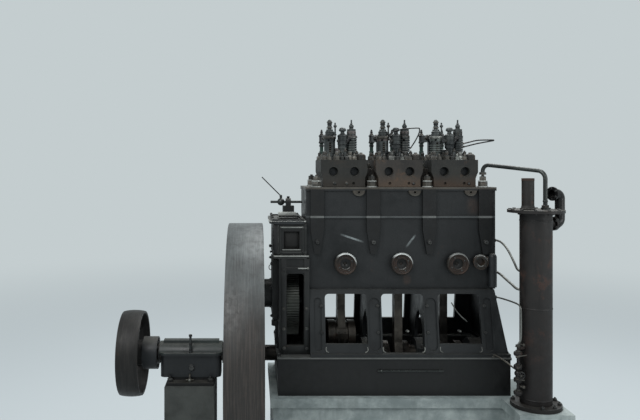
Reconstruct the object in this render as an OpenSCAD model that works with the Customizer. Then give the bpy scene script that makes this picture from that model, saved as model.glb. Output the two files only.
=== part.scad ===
// Three-cylinder vertical stationary oil engine with flywheel, belt pulley, outboard bearing
// and the upright receiver that stands beside it. Millimetres, +Z up, front of the engine to -Y.
// X = 0 at the middle cylinder, Y = 0 on the crankshaft, Z = 0 at the underside of the foundation.

/* [Foundation] */
// Height of the foundation, from the floor of the flywheel pit to the bedplate
found_h = 870; // [860:5:1100]
// Width of the foundation ledge around the bedplate
found_ledge = 50; // [20:5:120]
// Thickness of the coping course at the top of the foundation
coping_t = 70; // [40:5:120]
// Set-back of the masonry under the coping
coping_lip = 20; // [5:1:40]
// Width of the pier under the outboard bearing, along the shaft
pier_w = 380; // [320:5:420]
// Depth of the pier under the outboard bearing
pier_d = 400; // [340:5:600]

/* [Bedplate] */
// Height of the bedplate
bed_h = 280; // [270:2:320]
// Depth of the bedplate, front to back
bed_d = 788; // [770:2:860]
// Bedplate length beyond the last cylinder centre
bed_right = 360; // [350:2:420]
// Bedplate length beyond the gear case
bed_left = 18; // [12:1:30]
// Thickness of the rim along the top edge of the bedplate
bed_rim_t = 18; // [10:1:30]
// Set-back of the bedplate wall under that rim
bed_rim_lip = 6; // [2:1:12]
// Height of the crankshaft axis over the bedplate's underside
axis_up = 210; // [200:1:230]

/* [Crankshaft] */
// Crank radius, half of the stroke
crank_r = 150; // [120:1:155]
// Diameter of the main journals and of the shaft
shaft_d = 120; // [100:1:130]
// Diameter of the crankpins
pin_d = 110; // [90:1:120]
// Thickness of one crank web
web_t = 55; // [40:1:60]
// Length of a crankpin between its webs
pin_len = 100; // [80:1:110]
// Radius of the rounded ends of a web
web_r = 110; // [85:1:112]
// Length of a main bearing
main_len = 100; // [70:1:120]
// Running clearance of journals and crankpins, on the radius
run_fit = 0.05; // [0.02:0.01:0.1]

/* [Connecting rods] */
// Length between the eyes of a connecting rod
rod_len = 760; // [745:5:800]
// Width of the rod shank, along the shaft
rod_w = 60; // [40:1:70]
// Depth of the rod shank, across the shaft
rod_d = 86; // [60:1:92]
// Outer radius of the big end
big_r = 100; // [85:1:105]
// Outer radius of the small end
small_r = 44; // [30:1:46]
// Side clearance of the big end between the webs
side_clear = 5; // [5:0.5:8]

/* [Crank frame] */
// Height of the frame
frame_h = 480; // [460:2:560]
// Frame length beyond an end cylinder centre, at the top
frame_end = 270; // [250:2:280]
// Depth of the frame at its foot
frame_foot_d = 750; // [740:2:768]
// Depth of the frame at its top
frame_top_d = 572; // [560:2:600]
// Wall thickness of the frame
frame_wall = 30; // [20:1:36]
// Width of the openings in front of each crank
opening_w = 312; // [280:2:330]
// Height of the sill under the outer openings in front
sill_h = 90; // [60:2:120]
// Height of the sills behind
rear_sill_h = 134; // [100:2:160]
// Thickness of the foot flange
foot_t = 24; // [16:1:40]
// Thickness of the frame's top flange
frame_flange_t = 32; // [20:1:40]

/* [Cylinder block] */
// Distance between neighbouring cylinder centres
cyl_pitch = 420; // [412:2:460]
// Block length beyond an end cylinder centre
block_end = 291; // [285:1:320]
// Depth of the block between its faces
block_d = 504; // [490:2:540]
// Height of the block
block_h = 763; // [700:5:850]
// Wall thickness of the block
block_wall = 38; // [25:1:44]
// Thickness of the block's top flange
flange_t = 26; // [16:1:40]
// Overhang of the flanges beyond the block's face
flange_lip = 12; // [6:1:20]
// Height of the middle rib's top under the block's top
rib_down = 217; // [180:1:260]
// Thickness of the middle rib
rib_t = 16; // [10:1:26]
// Width of the tie-bolt casings on the block's face
casing_w = 100; // [70:1:120]
// Stand-out of the tie-bolt casings
casing_out = 26; // [14:1:34]
// Depth of the casing's foot under the block's top
casing_foot = 500; // [440:5:560]

/* [Heads] */
// Width of one cylinder head
head_w = 354; // [330:1:366]
// Depth of a cylinder head
head_d = 418; // [400:2:440]
// Height of a cylinder head
head_h = 207; // [190:1:240]
// Height of the narrower lower part of a head
head_low_h = 104; // [90:1:120]
// Set-back of that lower part on each side
head_inset = 18; // [14:1:24]
// Diameter of the two ports in a head's face
port_d = 68; // [50:1:76]
// Distance between the two ports
port_gap = 160; // [140:2:180]
// Depth of those ports
port_deep = 90; // [40:1:140]

/* [Valve gear] */
// Outer diameter of a valve cage
cage_d = 88; // [60:1:96]
// Height of a valve cage over the head
cage_h = 180; // [150:1:200]
// Height of the spindle tops over the head
spindle_h = 318; // [300:1:360]
// Distance from the head's centre to each valve
valve_x = 86; // [80:1:92]
// Coil or fin count of the spring units
fin_count = 6; // [4:1:8]
// Distance of the push rods behind the crankshaft
push_y = 340; // [325:1:360]
// Diameter of a push rod
push_d = 30; // [16:1:32]
// Set-off of each push rod from its valve, towards the flywheel
rod_shift = 28; // [0:1:32]
// Depth of the camshaft housing
cam_d = 122; // [112:2:150]
// Height of the camshaft housing
cam_h = 190; // [150:2:240]

/* [Gear column] */
// Width of the gear case, along the shaft
gear_case_w = 226; // [210:1:260]
// Depth of the gear case
gear_case_d = 612; // [600:2:680]
// Height of the lower gear case over the bedplate
gear_low_h = 735; // [700:5:760]
// Height of the upper gear case
gear_up_h = 236; // [200:2:280]
// Wall thickness of the gear case
gear_wall = 16; // [10:1:22]
// Width of the slot in front of the timing gear
slot_w = 128; // [110:1:150]
// Sill of that slot over the bedplate
slot_sill = 70; // [60:1:100]
// Height of that slot
slot_h = 530; // [440:5:560]
// Outer radius of the timing gear
gear_r = 262; // [220:1:264]
// Height of the timing gear's axis over the crankshaft
gear_up = 412; // [400:2:440]
// Face width of the timing gear
gear_face = 94; // [70:1:100]
// Number of teeth of the timing gear
gear_teeth = 80; // [40:2:96]
// Diameter of the control shaft
ctrl_d = 20; // [14:1:24]
// Length of the control lever
lever_len = 212; // [160:2:260]
// Diameter of the control lever
lever_d = 9; // [6:1:14]

/* [Flywheel] */
// Radius of the flywheel
fly_r = 1020; // [900:5:1020]
// Width of the flywheel rim
fly_w = 270; // [220:2:300]
// Radial thickness of the rim
fly_rim = 150; // [100:5:200]
// Gap between the flywheel and the bedplate
fly_gap = 100; // [98:1:140]
// Radius of the flywheel hub
fly_hub_r = 170; // [130:2:200]
// Number of flywheel arms
fly_arms = 6; // [5:1:8]

/* [Belt pulley] */
// Radius of the belt pulley
pulley_r = 330; // [300:5:400]
// Width of the belt pulley
pulley_w = 165; // [120:5:220]
// Radius of the coupling hub beside the pulley
hub_r = 125; // [100:1:140]
// Length of that coupling hub
hub_len = 114; // [80:1:140]

/* [Outboard bearing] */
// Length of the outboard bearing, along the shaft
ob_len = 500; // [420:5:540]
// Depth of the outboard bearing
ob_d = 236; // [220:2:300]
// Gap between the outboard bearing and the flywheel
ob_gap = 42; // [20:1:80]
// Height of the split line over the shaft's axis
ob_split = 14; // [8:1:30]
// Outer radius of the bearing's round upper half
ob_r = 92; // [84:1:100]

/* [Receiver] */
// Outer diameter of the receiver's body
rec_d = 216; // [180:2:260]
// Height of the receiver's body over the bedplate's underside
rec_h = 1356; // [1200:2:1500]
// Wall thickness of the receiver
rec_wall = 8; // [5:0.5:12]
// Diameter of the base flange
rec_foot_d = 342; // [320:2:360]
// Thickness of the top plate
rec_plate_t = 20; // [14:1:40]
// Distance of the receiver in front of the crankshaft
rec_y = 588; // [580:2:640]
// Distance of the receiver from the last cylinder's centre
rec_x = 453; // [440:1:500]
// Outer diameter of the gooseneck pipe
goose_d = 30; // [20:1:36]

/* [Hidden] */
$fn = 64;
eps = 1;
seat = 0.3;
move_gap = 6;

// levels over the bedplate's underside
bed_top = bed_h;
frame_top = bed_top + frame_h;
block_top = frame_top + block_h;
head_top = block_top + head_h;

// stations along the shaft
cyl = [-cyl_pitch, 0, cyl_pitch];
mains = [for (i = [-1.5:1:1.5]) i * cyl_pitch];
frame_l = -cyl_pitch - frame_end;
frame_r = cyl_pitch + frame_end;
block_l = -cyl_pitch - block_end;
block_r = cyl_pitch + block_end;
case_r = frame_l;
case_l = case_r - gear_case_w;
bed_l = case_l - bed_left;
bed_r = cyl_pitch + bed_right;
fly_right = bed_l - fly_gap;
fly_left = fly_right - fly_w;
ob_right = fly_left - ob_gap;
ob_left = ob_right - ob_len;
ob_mid = (ob_left + ob_right) / 2;
hub_right = ob_left - 2 * move_gap;
hub_left = hub_right - hub_len;
pulley_left = hub_left - pulley_w;
shaft_left = pulley_left - 10;
shaft_right = mains[3] + main_len / 2 + 16;
shaft_r = shaft_d / 2;
bore_r = shaft_r + run_fit;
pin_r = pin_d / 2;
crank_reach = crank_r + web_r;
phases = [0, 240, 120];

// sump under the cranks
sump_l = mains[0] - main_len / 2 - 10;
sump_r = mains[3] + main_len / 2 + 10;
sump_half = crank_reach + 2 * move_gap;
sump_deep = crank_reach - axis_up + 2 * move_gap;
sump_wall = 16;
pocket_clear = 12;
sump_x0 = sump_l - sump_wall;
sump_x1 = sump_r + sump_wall;

// receiver
rx = cyl_pitch + rec_x;
ry = -rec_y;
rec_r = rec_d / 2;

// frame of the foundation
found_l = bed_l - found_ledge;
found_r = bed_r + found_ledge;
found_half = bed_d / 2 + found_ledge;
vessel_half = rec_foot_d / 2 + 15;

// box between two corners
module bx(x0, x1, y0, y1, z0, z1) {
  translate([x0, y0, z0]) cube([x1 - x0, y1 - y0, z1 - z0]);
}

// round bar along X, Y and Z
module cx(x0, x1, y, z, r) {
  translate([x0, y, z]) rotate([0, 90, 0]) cylinder(h = x1 - x0, r = r);
}

module cy(y0, y1, x, z, r) {
  translate([x, y1, z]) rotate([90, 0, 0]) cylinder(h = y1 - y0, r = r);
}

module cz(z0, z1, x, y, r) {
  translate([x, y, z0]) cylinder(h = z1 - z0, r = r);
}

// everything that stands on the foundation
module on_top() {
  translate([0, 0, found_h]) children();
}

// slab seen from above with rounded corners, exact arcs
module rounded_slab(w, d, h, r) {
  linear_extrude(height = h) {
    square([w - 2 * r, d], center = true);
    square([w, d - 2 * r], center = true);
    for (sx = [-1, 1], sy = [-1, 1]) translate([sx * (w / 2 - r), sy * (d / 2 - r)]) circle(r = r);
  }
}

// opening with round top corners, cut along Y
module arch_cut(x, w, z0, z1, y0, y1, r) {
  bx(x - w / 2, x + w / 2, y0, y1, z0, z1 - r);
  bx(x - w / 2 + r, x + w / 2 - r, y0, y1, z1 - r - eps, z1);
  for (s = [-1, 1]) cy(y0, y1, x + s * (w / 2 - r), z1 - r, r);
}

// pipe that runs through steps of [length, turn, bend radius], the turn being in the plane XY
module pipe_run(steps, r, i = 0) {
  if (i < len(steps)) {
    len_i = steps[i][0];
    turn = steps[i][1];
    bend = steps[i][2];
    rotate([0, 90, 0]) cylinder(h = len_i, r = r);
    translate([len_i, 0, 0]) {
      if (turn != 0) {
        sphere(r = r * 1.04);
        side = turn > 0 ? 1 : -1;
        swing = abs(turn);
        translate([0, side * bend, 0])
          rotate([0, 0, side > 0 ? -90 : 90 - swing])
            rotate_extrude(angle = swing) translate([bend, 0]) circle(r = r);
        translate([bend * sin(swing), side * bend * (1 - cos(swing)), 0]) rotate([0, 0, turn]) {
          sphere(r = r * 1.04);
          pipe_run(steps, r, i + 1);
        }
      }
    }
  }
}

// straight bar between two points, with a ball at the far end
module strut(a, b, r, ball = 0) {
  d = b - a;
  flat = norm([d[0], d[1]]);
  translate(a) rotate([0, atan2(flat, d[2]), atan2(d[1], d[0])]) cylinder(h = norm(d), r = r);
  if (ball > 0) translate(b) sphere(r = ball);
}

module polyline_pipe(pts, r) {
  for (i = [0:len(pts) - 2]) strut(pts[i], pts[i + 1], r, i < len(pts) - 2 ? r * 1.05 : 0);
}

// masonry under the bedplate and the receiver
module foundation() {
  color([0.72, 0.74, 0.72]) difference() {
    union() {
      bx(found_l + coping_lip, found_r - coping_lip, -found_half + coping_lip, found_half - coping_lip,
        0, found_h - coping_t + eps);
      bx(found_l, found_r, -found_half, found_half, found_h - coping_t, found_h);
      bx(rx - vessel_half + coping_lip, rx + vessel_half - coping_lip, ry - vessel_half + coping_lip, 0,
        0, found_h - coping_t + eps);
      bx(rx - vessel_half, rx + vessel_half, ry - vessel_half, 0, found_h - coping_t, found_h);
    }
    bx(sump_x0 - pocket_clear, sump_x1 + pocket_clear,
      -sump_half - sump_wall - pocket_clear, sump_half + sump_wall + pocket_clear,
      found_h - sump_deep - sump_wall - pocket_clear, found_h + eps);
  }
}

module bearing_pier() {
  color([0.62, 0.64, 0.62])
    bx(ob_mid - pier_w / 2, ob_mid + pier_w / 2, -pier_d / 2, pier_d / 2, 0, found_h);
}

// cast bedplate with its sump, cross walls and bearing saddles
module bedplate() {
  lip = bed_rim_lip;
  color([0.17, 0.18, 0.18]) on_top() difference() {
    union() {
      bx(bed_l + lip, bed_r - lip, -bed_d / 2 + lip, bed_d / 2 - lip, 0, bed_h - bed_rim_t + eps);
      bx(bed_l, bed_r, -bed_d / 2, bed_d / 2, bed_h - bed_rim_t, bed_h);
      bx(sump_x0, sump_x1, -sump_half - sump_wall, sump_half + sump_wall, -sump_deep - sump_wall, eps);
    }
    for (i = [0:2]) bx(mains[i] + main_len / 2, mains[i + 1] - main_len / 2,
      -sump_half, sump_half, -sump_deep, bed_h + eps);
    // room for the caps over each saddle
    for (x = mains) bx(x - main_len / 2 - eps, x + main_len / 2 + eps,
      -sump_half, sump_half, axis_up, bed_h + eps);
    cx(mains[0] - main_len / 2 - eps, mains[3] + main_len / 2 + eps, 0, axis_up, bore_r);
    // clearance holes beyond the end bearings
    cx(bed_l - eps, mains[0] - main_len / 2, 0, axis_up, shaft_r + move_gap);
    cx(mains[3] + main_len / 2, shaft_right + move_gap, 0, axis_up, shaft_r + move_gap);
  }
}

drain_r = 5;
drain_off = 9;
drain_z = 184;
drain_x0 = -200;
drain_len = 480;
drain_ball = 11;
drain_ball_at = 26;
clip_half = 5;
clip_rise = 7;
// thin rod on the bedplate's front, in three clips, with its knob
module drain_rod() {
  face = -bed_d / 2 + bed_rim_lip;
  color([0.24, 0.24, 0.23]) on_top() {
    cx(drain_x0, drain_x0 + drain_len, face - drain_off, drain_z, drain_r);
    translate([drain_x0 + drain_ball_at, face - drain_off, drain_z]) sphere(r = drain_ball);
    for (k = [0.05, 0.5, 0.95]) {
      x = drain_x0 + k * drain_len;
      bx(x - clip_half, x + clip_half, face - drain_off, face, drain_z - clip_rise, drain_z + clip_rise);
    }
  }
}

cap_h = 118;
cap_d = 230;
module main_bearing_caps() {
  color([0.16, 0.17, 0.17]) on_top() for (x = mains) difference() {
    union() {
      bx(x - main_len / 2, x + main_len / 2, -cap_d / 2, cap_d / 2, axis_up, axis_up + cap_h * 0.55);
      cx(x - main_len / 2, x + main_len / 2, 0, axis_up, cap_h);
    }
    cx(x - main_len / 2 - eps, x + main_len / 2 + eps, 0, axis_up, bore_r);
    bx(x - main_len, x + main_len, -2 * cap_d, 2 * cap_d, axis_up - 2 * cap_h, axis_up);
  }
}

// solid wedge of the frame, grown by g on every side; a smaller one runs past foot and top
side_room = 200;
slant_foot = 10;
slant_head = 20;
module frame_form(g) {
  over = g < 0 ? 2 * eps : 0;
  foot = frame_foot_d / 2 + g;
  head = frame_top_d / 2 + g;
  intersection() {
    translate([frame_l - side_room, 0, bed_top]) rotate([90, 0, 90])
      linear_extrude(height = frame_r - frame_l + 3 * side_room)
        polygon([[-foot, -over], [foot, -over], [head, frame_h + over], [-head, frame_h + over]]);
    translate([0, frame_foot_d, bed_top - slant_foot]) rotate([90, 0, 0])
      linear_extrude(height = 2 * frame_foot_d)
        polygon([[frame_l - g, 0], [bed_r - slant_foot + g, 0],
          [frame_r + g, frame_h + slant_head], [frame_l - g, frame_h + slant_head]]);
  }
}

opening_top = frame_h - frame_flange_t;
corner_r = 28;
panel_deep = 12;
panel_inner = 84;
panel_outer = 56;
panel_low = 40;
panel_high = 420;
web_half = 14;
web_foot = 20;
cap_room = 6;
foot_inset = 4;
foot_right = 60;
arch_half = cap_d / 2 + 15;
arch_rise = 226;
arch_shift = (arch_rise * arch_rise - arch_half * arch_half) / (2 * arch_half);

// pointed arch over a bearing cap, cut along X
module web_arch(t) {
  spring = axis_up + cap_h;
  bx(0, t, -arch_half, arch_half, bed_top - eps, spring);
  intersection() {
    arch_side(t, 1, spring);
    arch_side(t, -1, spring);
    bx(0, t, -arch_half, arch_half, spring - eps, spring + arch_rise + eps);
  }
}

module arch_side(t, s, spring) {
  cx(0, t, -s * arch_shift, spring, arch_half + arch_shift);
}

// one well per cylinder, cut through the decks that the rods pass
module wells(z0, z1) {
  deep = block_d / 2 - block_wall;
  for (x = cyl) bx(x - well_half, x + well_half, -deep, deep, z0, z1);
}

module crank_frame() {
  w = frame_wall;
  color([0.18, 0.19, 0.19]) on_top() difference() {
    union() {
      difference() {
        frame_form(0);
        frame_form(-w);
      }
      // deck that carries the block
      intersection() {
        frame_form(0);
        bx(frame_l, bed_r, -frame_foot_d, frame_foot_d, frame_top - frame_flange_t, frame_top);
      }
      // foot flange on the bedplate
      difference() {
        bx(frame_l, bed_r - foot_inset, -bed_d / 2 + foot_inset, bed_d / 2 - foot_inset,
          bed_top, bed_top + foot_t);
        bx(frame_l + w, bed_r - foot_right, -frame_foot_d / 2 + w, frame_foot_d / 2 - w,
          bed_top - eps, bed_top + foot_t + eps);
      }
      // webs across the frame over the inner bearings
      intersection() {
        frame_form(-2);
        for (x = [mains[1], mains[2]])
          bx(x - web_half, x + web_half, -frame_foot_d, frame_foot_d,
            bed_top + web_foot, frame_top - eps);
      }
    }
    // pointed arches in those webs
    for (x = [mains[1], mains[2]])
      translate([x - web_half - eps, 0, 0]) web_arch(2 * web_half + 2 * eps);
    wells(frame_top - frame_flange_t - eps, frame_top + eps);
    for (i = [0:2]) {
      arch_cut(cyl[i], opening_w, bed_top + (i == 1 ? foot_t : sill_h), bed_top + opening_top,
        -frame_foot_d, 0, corner_r);
      arch_cut(cyl[i], opening_w, bed_top + rear_sill_h, bed_top + opening_top,
        0, frame_foot_d, corner_r);
    }
    // room for the end bearing's cap in the end wall
    cx(frame_l - eps, frame_l + w + eps, 0, axis_up, cap_h + cap_room);
    // recessed panels with round ends in the front columns
    intersection() {
      for (i = [0:3]) panel(mains[i], i == 0 || i == 3 ? panel_outer : panel_inner);
      difference() {
        frame_form(2);
        frame_form(-panel_deep);
      }
    }
  }
}

// round-ended slot form of a panel
module panel(x, w) {
  low = bed_top + panel_low + w / 2;
  high = bed_top + panel_high - w / 2;
  bx(x - w / 2, x + w / 2, -frame_foot_d, 0, low, high);
  for (z = [low, high]) cy(-frame_foot_d, 0, x, z, w / 2);
}

// crank web between the shaft's axis and the pin, along the throw
module web(x0, phase) {
  root_r = web_r * 0.86;
  translate([x0, 0, 0]) rotate([-phase, 0, 0]) {
    cx(0, web_t, 0, 0, root_r);
    cx(0, web_t, 0, crank_r, web_r);
    translate([0, -root_r, 0]) cube([web_t, 2 * root_r, crank_r]);
  }
}

module crankshaft() {
  half = pin_len / 2 + web_t;
  color([0.34, 0.34, 0.33]) translate([0, 0, found_h + axis_up]) {
    cx(shaft_left, cyl[0] - pin_len / 2 - 1, 0, 0, shaft_r);
    for (i = [0, 1]) cx(cyl[i] + pin_len / 2 + 1, cyl[i + 1] - pin_len / 2 - 1, 0, 0, shaft_r);
    cx(cyl[2] + pin_len / 2 + 1, shaft_right, 0, 0, shaft_r);
    for (i = [0:2]) {
      web(cyl[i] - half, phases[i]);
      web(cyl[i] + pin_len / 2, phases[i]);
      rotate([-phases[i], 0, 0]) cx(cyl[i] - half + 2, cyl[i] + half - 2, 0, crank_r, pin_r);
    }
  }
}

arm_w = 120;
arm_t = 66;
arm_root = 20;
fly_hub_out = 12;
module flywheel() {
  mid = (fly_left + fly_right) / 2;
  hub_half = fly_w / 2 + fly_hub_out;
  color([0.42, 0.43, 0.43]) translate([mid, 0, found_h + axis_up]) difference() {
    union() {
      rotate([0, 90, 0]) difference() {
        cylinder(h = fly_w, r = fly_r, center = true, $fn = 128);
        cylinder(h = fly_w + 2, r = fly_r - fly_rim, center = true, $fn = 128);
      }
      cx(-hub_half, hub_half, 0, 0, fly_hub_r);
      for (k = [0:fly_arms - 1]) rotate([k * 360 / fly_arms, 0, 0])
        translate([-arm_t / 2, -arm_w / 2, fly_hub_r - arm_root])
          cube([arm_t, arm_w, fly_r - fly_rim - fly_hub_r + 2 * arm_root]);
    }
    cx(-fly_w, fly_w, 0, 0, bore_r);
  }
}

module shaft_hub() {
  color([0.2, 0.21, 0.21]) translate([0, 0, found_h + axis_up]) difference() {
    cx(hub_left + seat, hub_right, 0, 0, hub_r);
    cx(hub_left - eps, hub_right + eps, 0, 0, bore_r);
  }
}

rim_t = 18;
crown = 8;
pulley_arms = 6;
pulley_arm_t = 32;
pulley_arm_w = 64;
module belt_pulley() {
  mid = hub_left - pulley_w / 2;
  color([0.27, 0.26, 0.25]) translate([mid, 0, found_h + axis_up]) difference() {
    union() {
      rotate([0, 90, 0]) rotate_extrude($fn = 128) polygon([
        [pulley_r - crown - rim_t, -pulley_w / 2], [pulley_r - crown, -pulley_w / 2],
        [pulley_r, -pulley_w / 6], [pulley_r, pulley_w / 6],
        [pulley_r - crown, pulley_w / 2], [pulley_r - crown - rim_t, pulley_w / 2]]);
      cx(-pulley_w / 2, pulley_w / 2, 0, 0, hub_r * 0.78);
      for (k = [0:pulley_arms - 1]) rotate([k * 360 / pulley_arms, 0, 0])
        translate([-pulley_arm_t / 2, -pulley_arm_w / 2, hub_r * 0.7])
          cube([pulley_arm_t, pulley_arm_w, pulley_r - crown - rim_t / 2 - hub_r * 0.7]);
    }
    cx(-pulley_w, pulley_w, 0, 0, bore_r);
  }
}

// connecting rod, upright over its crankpin
split_half = 22;
shank_root = 30;
small_lip = 6;
module connecting_rod(i) {
  a = phases[i];
  half = pin_len / 2 - side_clear;
  color([0.3, 0.28, 0.26])
    translate([cyl[i], crank_r * sin(a), found_h + axis_up + crank_r * cos(a)]) difference() {
      union() {
        cx(-half, half, 0, 0, big_r);
        bx(-half, half, -big_r, big_r, -split_half, split_half);
        bx(-rod_w / 2, rod_w / 2, -rod_d / 2, rod_d / 2, big_r - shank_root, rod_len);
        cx(-rod_w / 2 - small_lip, rod_w / 2 + small_lip, 0, rod_len, small_r);
        // swelling of the shank above the big end
        translate([-rod_w / 2, 0, 0]) rotate([90, 0, 90]) linear_extrude(height = rod_w)
          polygon([[-big_r * 0.8, big_r * 0.5], [big_r * 0.8, big_r * 0.5],
            [rod_d / 2, big_r * 2], [-rod_d / 2, big_r * 2]]);
      }
      cx(-pin_len, pin_len, 0, 0, pin_r + run_fit);
      cx(-pin_len, pin_len, 0, rod_len, small_r * 0.55);
    }
}

gallery_half = 168;
gallery_h = 112;
rib_left = 26;
rib_right = 16;
well_half = cyl_pitch / 2 - 50;
// block: closed box with one well per cylinder, flanges, ribs, galleries and tie-bolt casings
module cylinder_block() {
  hd = block_d / 2;
  out = hd + flange_lip;
  z0 = frame_top;
  z1 = block_top;
  color([0.17, 0.18, 0.19]) on_top() difference() {
    union() {
      bx(block_l, block_r, -hd, hd, z0, z1);
      bx(block_l - flange_lip / 2, block_r + flange_lip / 2, -out, out, z1 - flange_t, z1);
      bx(block_l + rib_left, block_r - rib_right, -out, out, z1 - rib_down - rib_t, z1 - rib_down);
      for (x = mains, s = [-1, 1]) casing(x, s);
      // gallery behind each head
      for (x = cyl)
        bx(x - gallery_half, x + gallery_half, head_d / 2 + seat, hd, z1 - eps, z1 + gallery_h);
    }
    wells(z0 - eps, z1 - block_wall);
  }
}

casing_edge = 4;
// tie-bolt casing with its pointed foot
module casing(x, s) {
  half = casing_w / 2;
  xx = max(block_l + half + casing_edge, min(block_r - half - casing_edge, x));
  z1 = block_top;
  out = block_d / 2 + casing_out;
  tip = z1 - casing_foot;
  shoulder = tip + casing_w * 1.8;
  intersection() {
    bx(xx - half, xx + half, s > 0 ? 0 : -out, s > 0 ? out : 0, tip, z1 - flange_t / 2);
    translate([xx, out, 0]) rotate([90, 0, 0]) linear_extrude(height = 2 * out)
      polygon([[-half, z1], [-half, shoulder], [-half * 0.4, tip],
        [half * 0.4, tip], [half, shoulder], [half, z1]]);
  }
}

port_z = 951;
boss_r = 82;
boss_out = 48;
boss_bore = 40;
boss_rim = 18;
boss_face = 7;
module port_flanges() {
  y1 = -block_d / 2;
  color([0.36, 0.3, 0.22]) on_top() for (x = cyl) difference() {
    union() {
      cy(y1 - boss_out, y1, x, port_z, boss_r - 8);
      cy(y1 - boss_out, y1 - boss_out + boss_rim, x, port_z, boss_r);
    }
    cy(y1 - boss_out - eps, y1 - 6, x, port_z, boss_bore);
    cy(y1 - boss_out - eps, y1 - boss_out + boss_face, x, port_z, boss_r - 20);
  }
}

outlet_off = 170;
outlet_r = 56;
outlet_out = 44;
outlet_rim = 14;
outlet_up = 14;
riser_off = 90;
riser_r = 30;
riser_over = 50;
riser_from = 20;
riser_gap = 4;
branch_r = 12;
strap_half = 8;
strap_in = 60;
// water outlet with the riser beside it
module water_outlet() {
  y1 = -block_d / 2;
  xo = cyl[2] + outlet_off;
  xr = min(block_r - riser_r - 2, xo + riser_off);
  yr = y1 - riser_r - riser_gap;
  top = port_z + riser_over;
  color([0.3, 0.25, 0.21]) on_top() difference() {
    union() {
      cy(y1 - outlet_out, y1, xo, port_z + outlet_up, outlet_r - 8);
      cy(y1 - outlet_out, y1 - outlet_out + outlet_rim, xo, port_z + outlet_up, outlet_r);
      cz(frame_top + riser_from, top, xr, yr, riser_r);
      translate([xr, yr, top]) sphere(r = riser_r);
      cx(xo + outlet_r / 2, xr, y1 - outlet_out + 18, top - 10, branch_r);
      // straps to the block
      for (z = [frame_top + strap_in, port_z - strap_in])
        bx(xr - 12, xr + 12, y1 - riser_r, y1, z - strap_half, z + strap_half);
    }
    cy(y1 - outlet_out - eps, y1 - 12, xo, port_z + outlet_up, outlet_r / 2);
  }
}

lug_off = 103;
lug_w = 92;
lug_h = 62;
lug_t = 18;
lug_tip = 20;
lug_hole = 9;
// lifting lugs under the top flange, rounded at the foot
module lifting_lugs() {
  y1 = -block_d / 2;
  z1 = block_top - flange_t;
  zt = z1 - lug_h + lug_tip;
  color([0.22, 0.22, 0.22]) on_top() for (c = cyl) {
    translate([c + lug_off, y1, 0]) rotate([90, 0, 0]) linear_extrude(height = lug_t) difference() {
      union() {
        polygon([[-lug_w / 2, z1], [-lug_w / 2, zt + lug_tip], [-lug_tip, zt],
          [lug_tip, zt], [lug_w / 2, zt + lug_tip], [lug_w / 2, z1]]);
        translate([0, zt]) circle(r = lug_tip);
      }
      translate([0, zt]) circle(r = lug_hole);
    }
  }
}

nut_r = 35;
nut_h = 44;
washer_h = 42;
stud_r = 24;
stud_over = 10;
nut_y = head_d / 2 + 6;
module tie_bolt_nuts() {
  color([0.3, 0.28, 0.26]) on_top() for (m = mains, s = [-1, 1]) {
    x = max(block_l + nut_r + 2, min(block_r - nut_r - 2, m));
    cz(block_top, block_top + washer_h, x, s * nut_y, nut_r);
    translate([x, s * nut_y, block_top + washer_h]) cylinder(h = nut_h, r = stud_r, $fn = 6);
    cz(block_top + washer_h + nut_h, tie_top, x, s * nut_y, stud_r * 0.6);
  }
}

tie_top = block_top + washer_h + nut_h + stud_over;
stud_h = 42;
head_stud_r = 13;
stud_in_x = 30;
stud_in_y = 36;
dome_r = 37;
dome_h = 34;
dome_in = 66;
plug_r = 11;
plug_deep = 14;
plug_up = 28;
// one cylinder head, seated on the block
module cylinder_head(x) {
  hw = head_w / 2;
  hd = head_d / 2;
  port_mid = block_top + head_h * 0.57;
  low_w = hw - head_inset;
  step_z = head_low_h - 2 * head_inset;
  wide_z = head_low_h + head_inset / 2;
  color([0.25, 0.23, 0.21]) on_top() difference() {
    union() {
      // casting, drawn in towards its foot
      translate([x, hd, block_top]) rotate([90, 0, 0]) linear_extrude(height = 2 * hd)
        polygon([[-low_w, 0], [low_w, 0], [low_w, step_z], [hw, wide_z],
          [hw, head_h], [-hw, head_h], [-hw, wide_z], [-low_w, step_z]]);
      // studs standing round the valves
      for (sx = [-1, -0.35, 0.35, 1], sy = [-1, 1]) if (sx < 1 || sy > 0)
        cz(head_top - eps, head_top + stud_h,
          x + sx * (hw - stud_in_x), sy * (hd - stud_in_y), head_stud_r);
      // round cover at the front corner
      cz(head_top - eps, head_top + dome_h, x + hw - dome_r - 2, -hd + dome_in, dome_r);
    }
    for (s = [-1, 1]) {
      cy(-hd - eps, -hd + port_deep, x + s * port_gap / 2, port_mid, port_d / 2);
      cy(-hd - eps, -hd + plug_deep, x + s * port_gap * 0.45, block_top + plug_up, plug_r);
    }
  }
}

cage_foot_t = 26;
cage_foot_lip = 8;
cage_cap_in = 12;
cage_cap_out = 8;
cage_cap_lip = 4;
cage_slot = 18;
cage_slot_low = 60;
cage_slot_high = 40;
stem_r = 27;
stem_h = 62;
stem_ring_r = 34;
stem_ring_low = 20;
stem_ring_t = 16;
spindle_r = 12;
ball_up = 82;
ball_r = 19;
top_ball_r = 20;
pin_off = 44;
pin_thin = 6;
pin_ball = 12;
link_up = 24;
link_half = 9;
inj_x = 12;
inj_y = -30;
inj_r = 27;
inj_rad = 38;
inj_low = 120;
inj_high = 196;
inj_neck_r = 15;
inj_neck = 30;
inj_cap_r = 24;
inj_cap_t = 18;
inj_ring_r = 36;
inj_ring_up = 90;
inj_ring_t = 12;
spring_foot_r = 38;
spring_foot_h = 56;
spring_h = 210;
disc_rad = 41;
fin_low = 74;
fin_t = 10;
fin_pitch = 19;
spring_cap_r = 34;
spring_cap_low = 192;
spring_cap_h = 52;
spring_rod_r = 9;
spring_ball_up = 266;
tip_h = 60;

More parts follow.
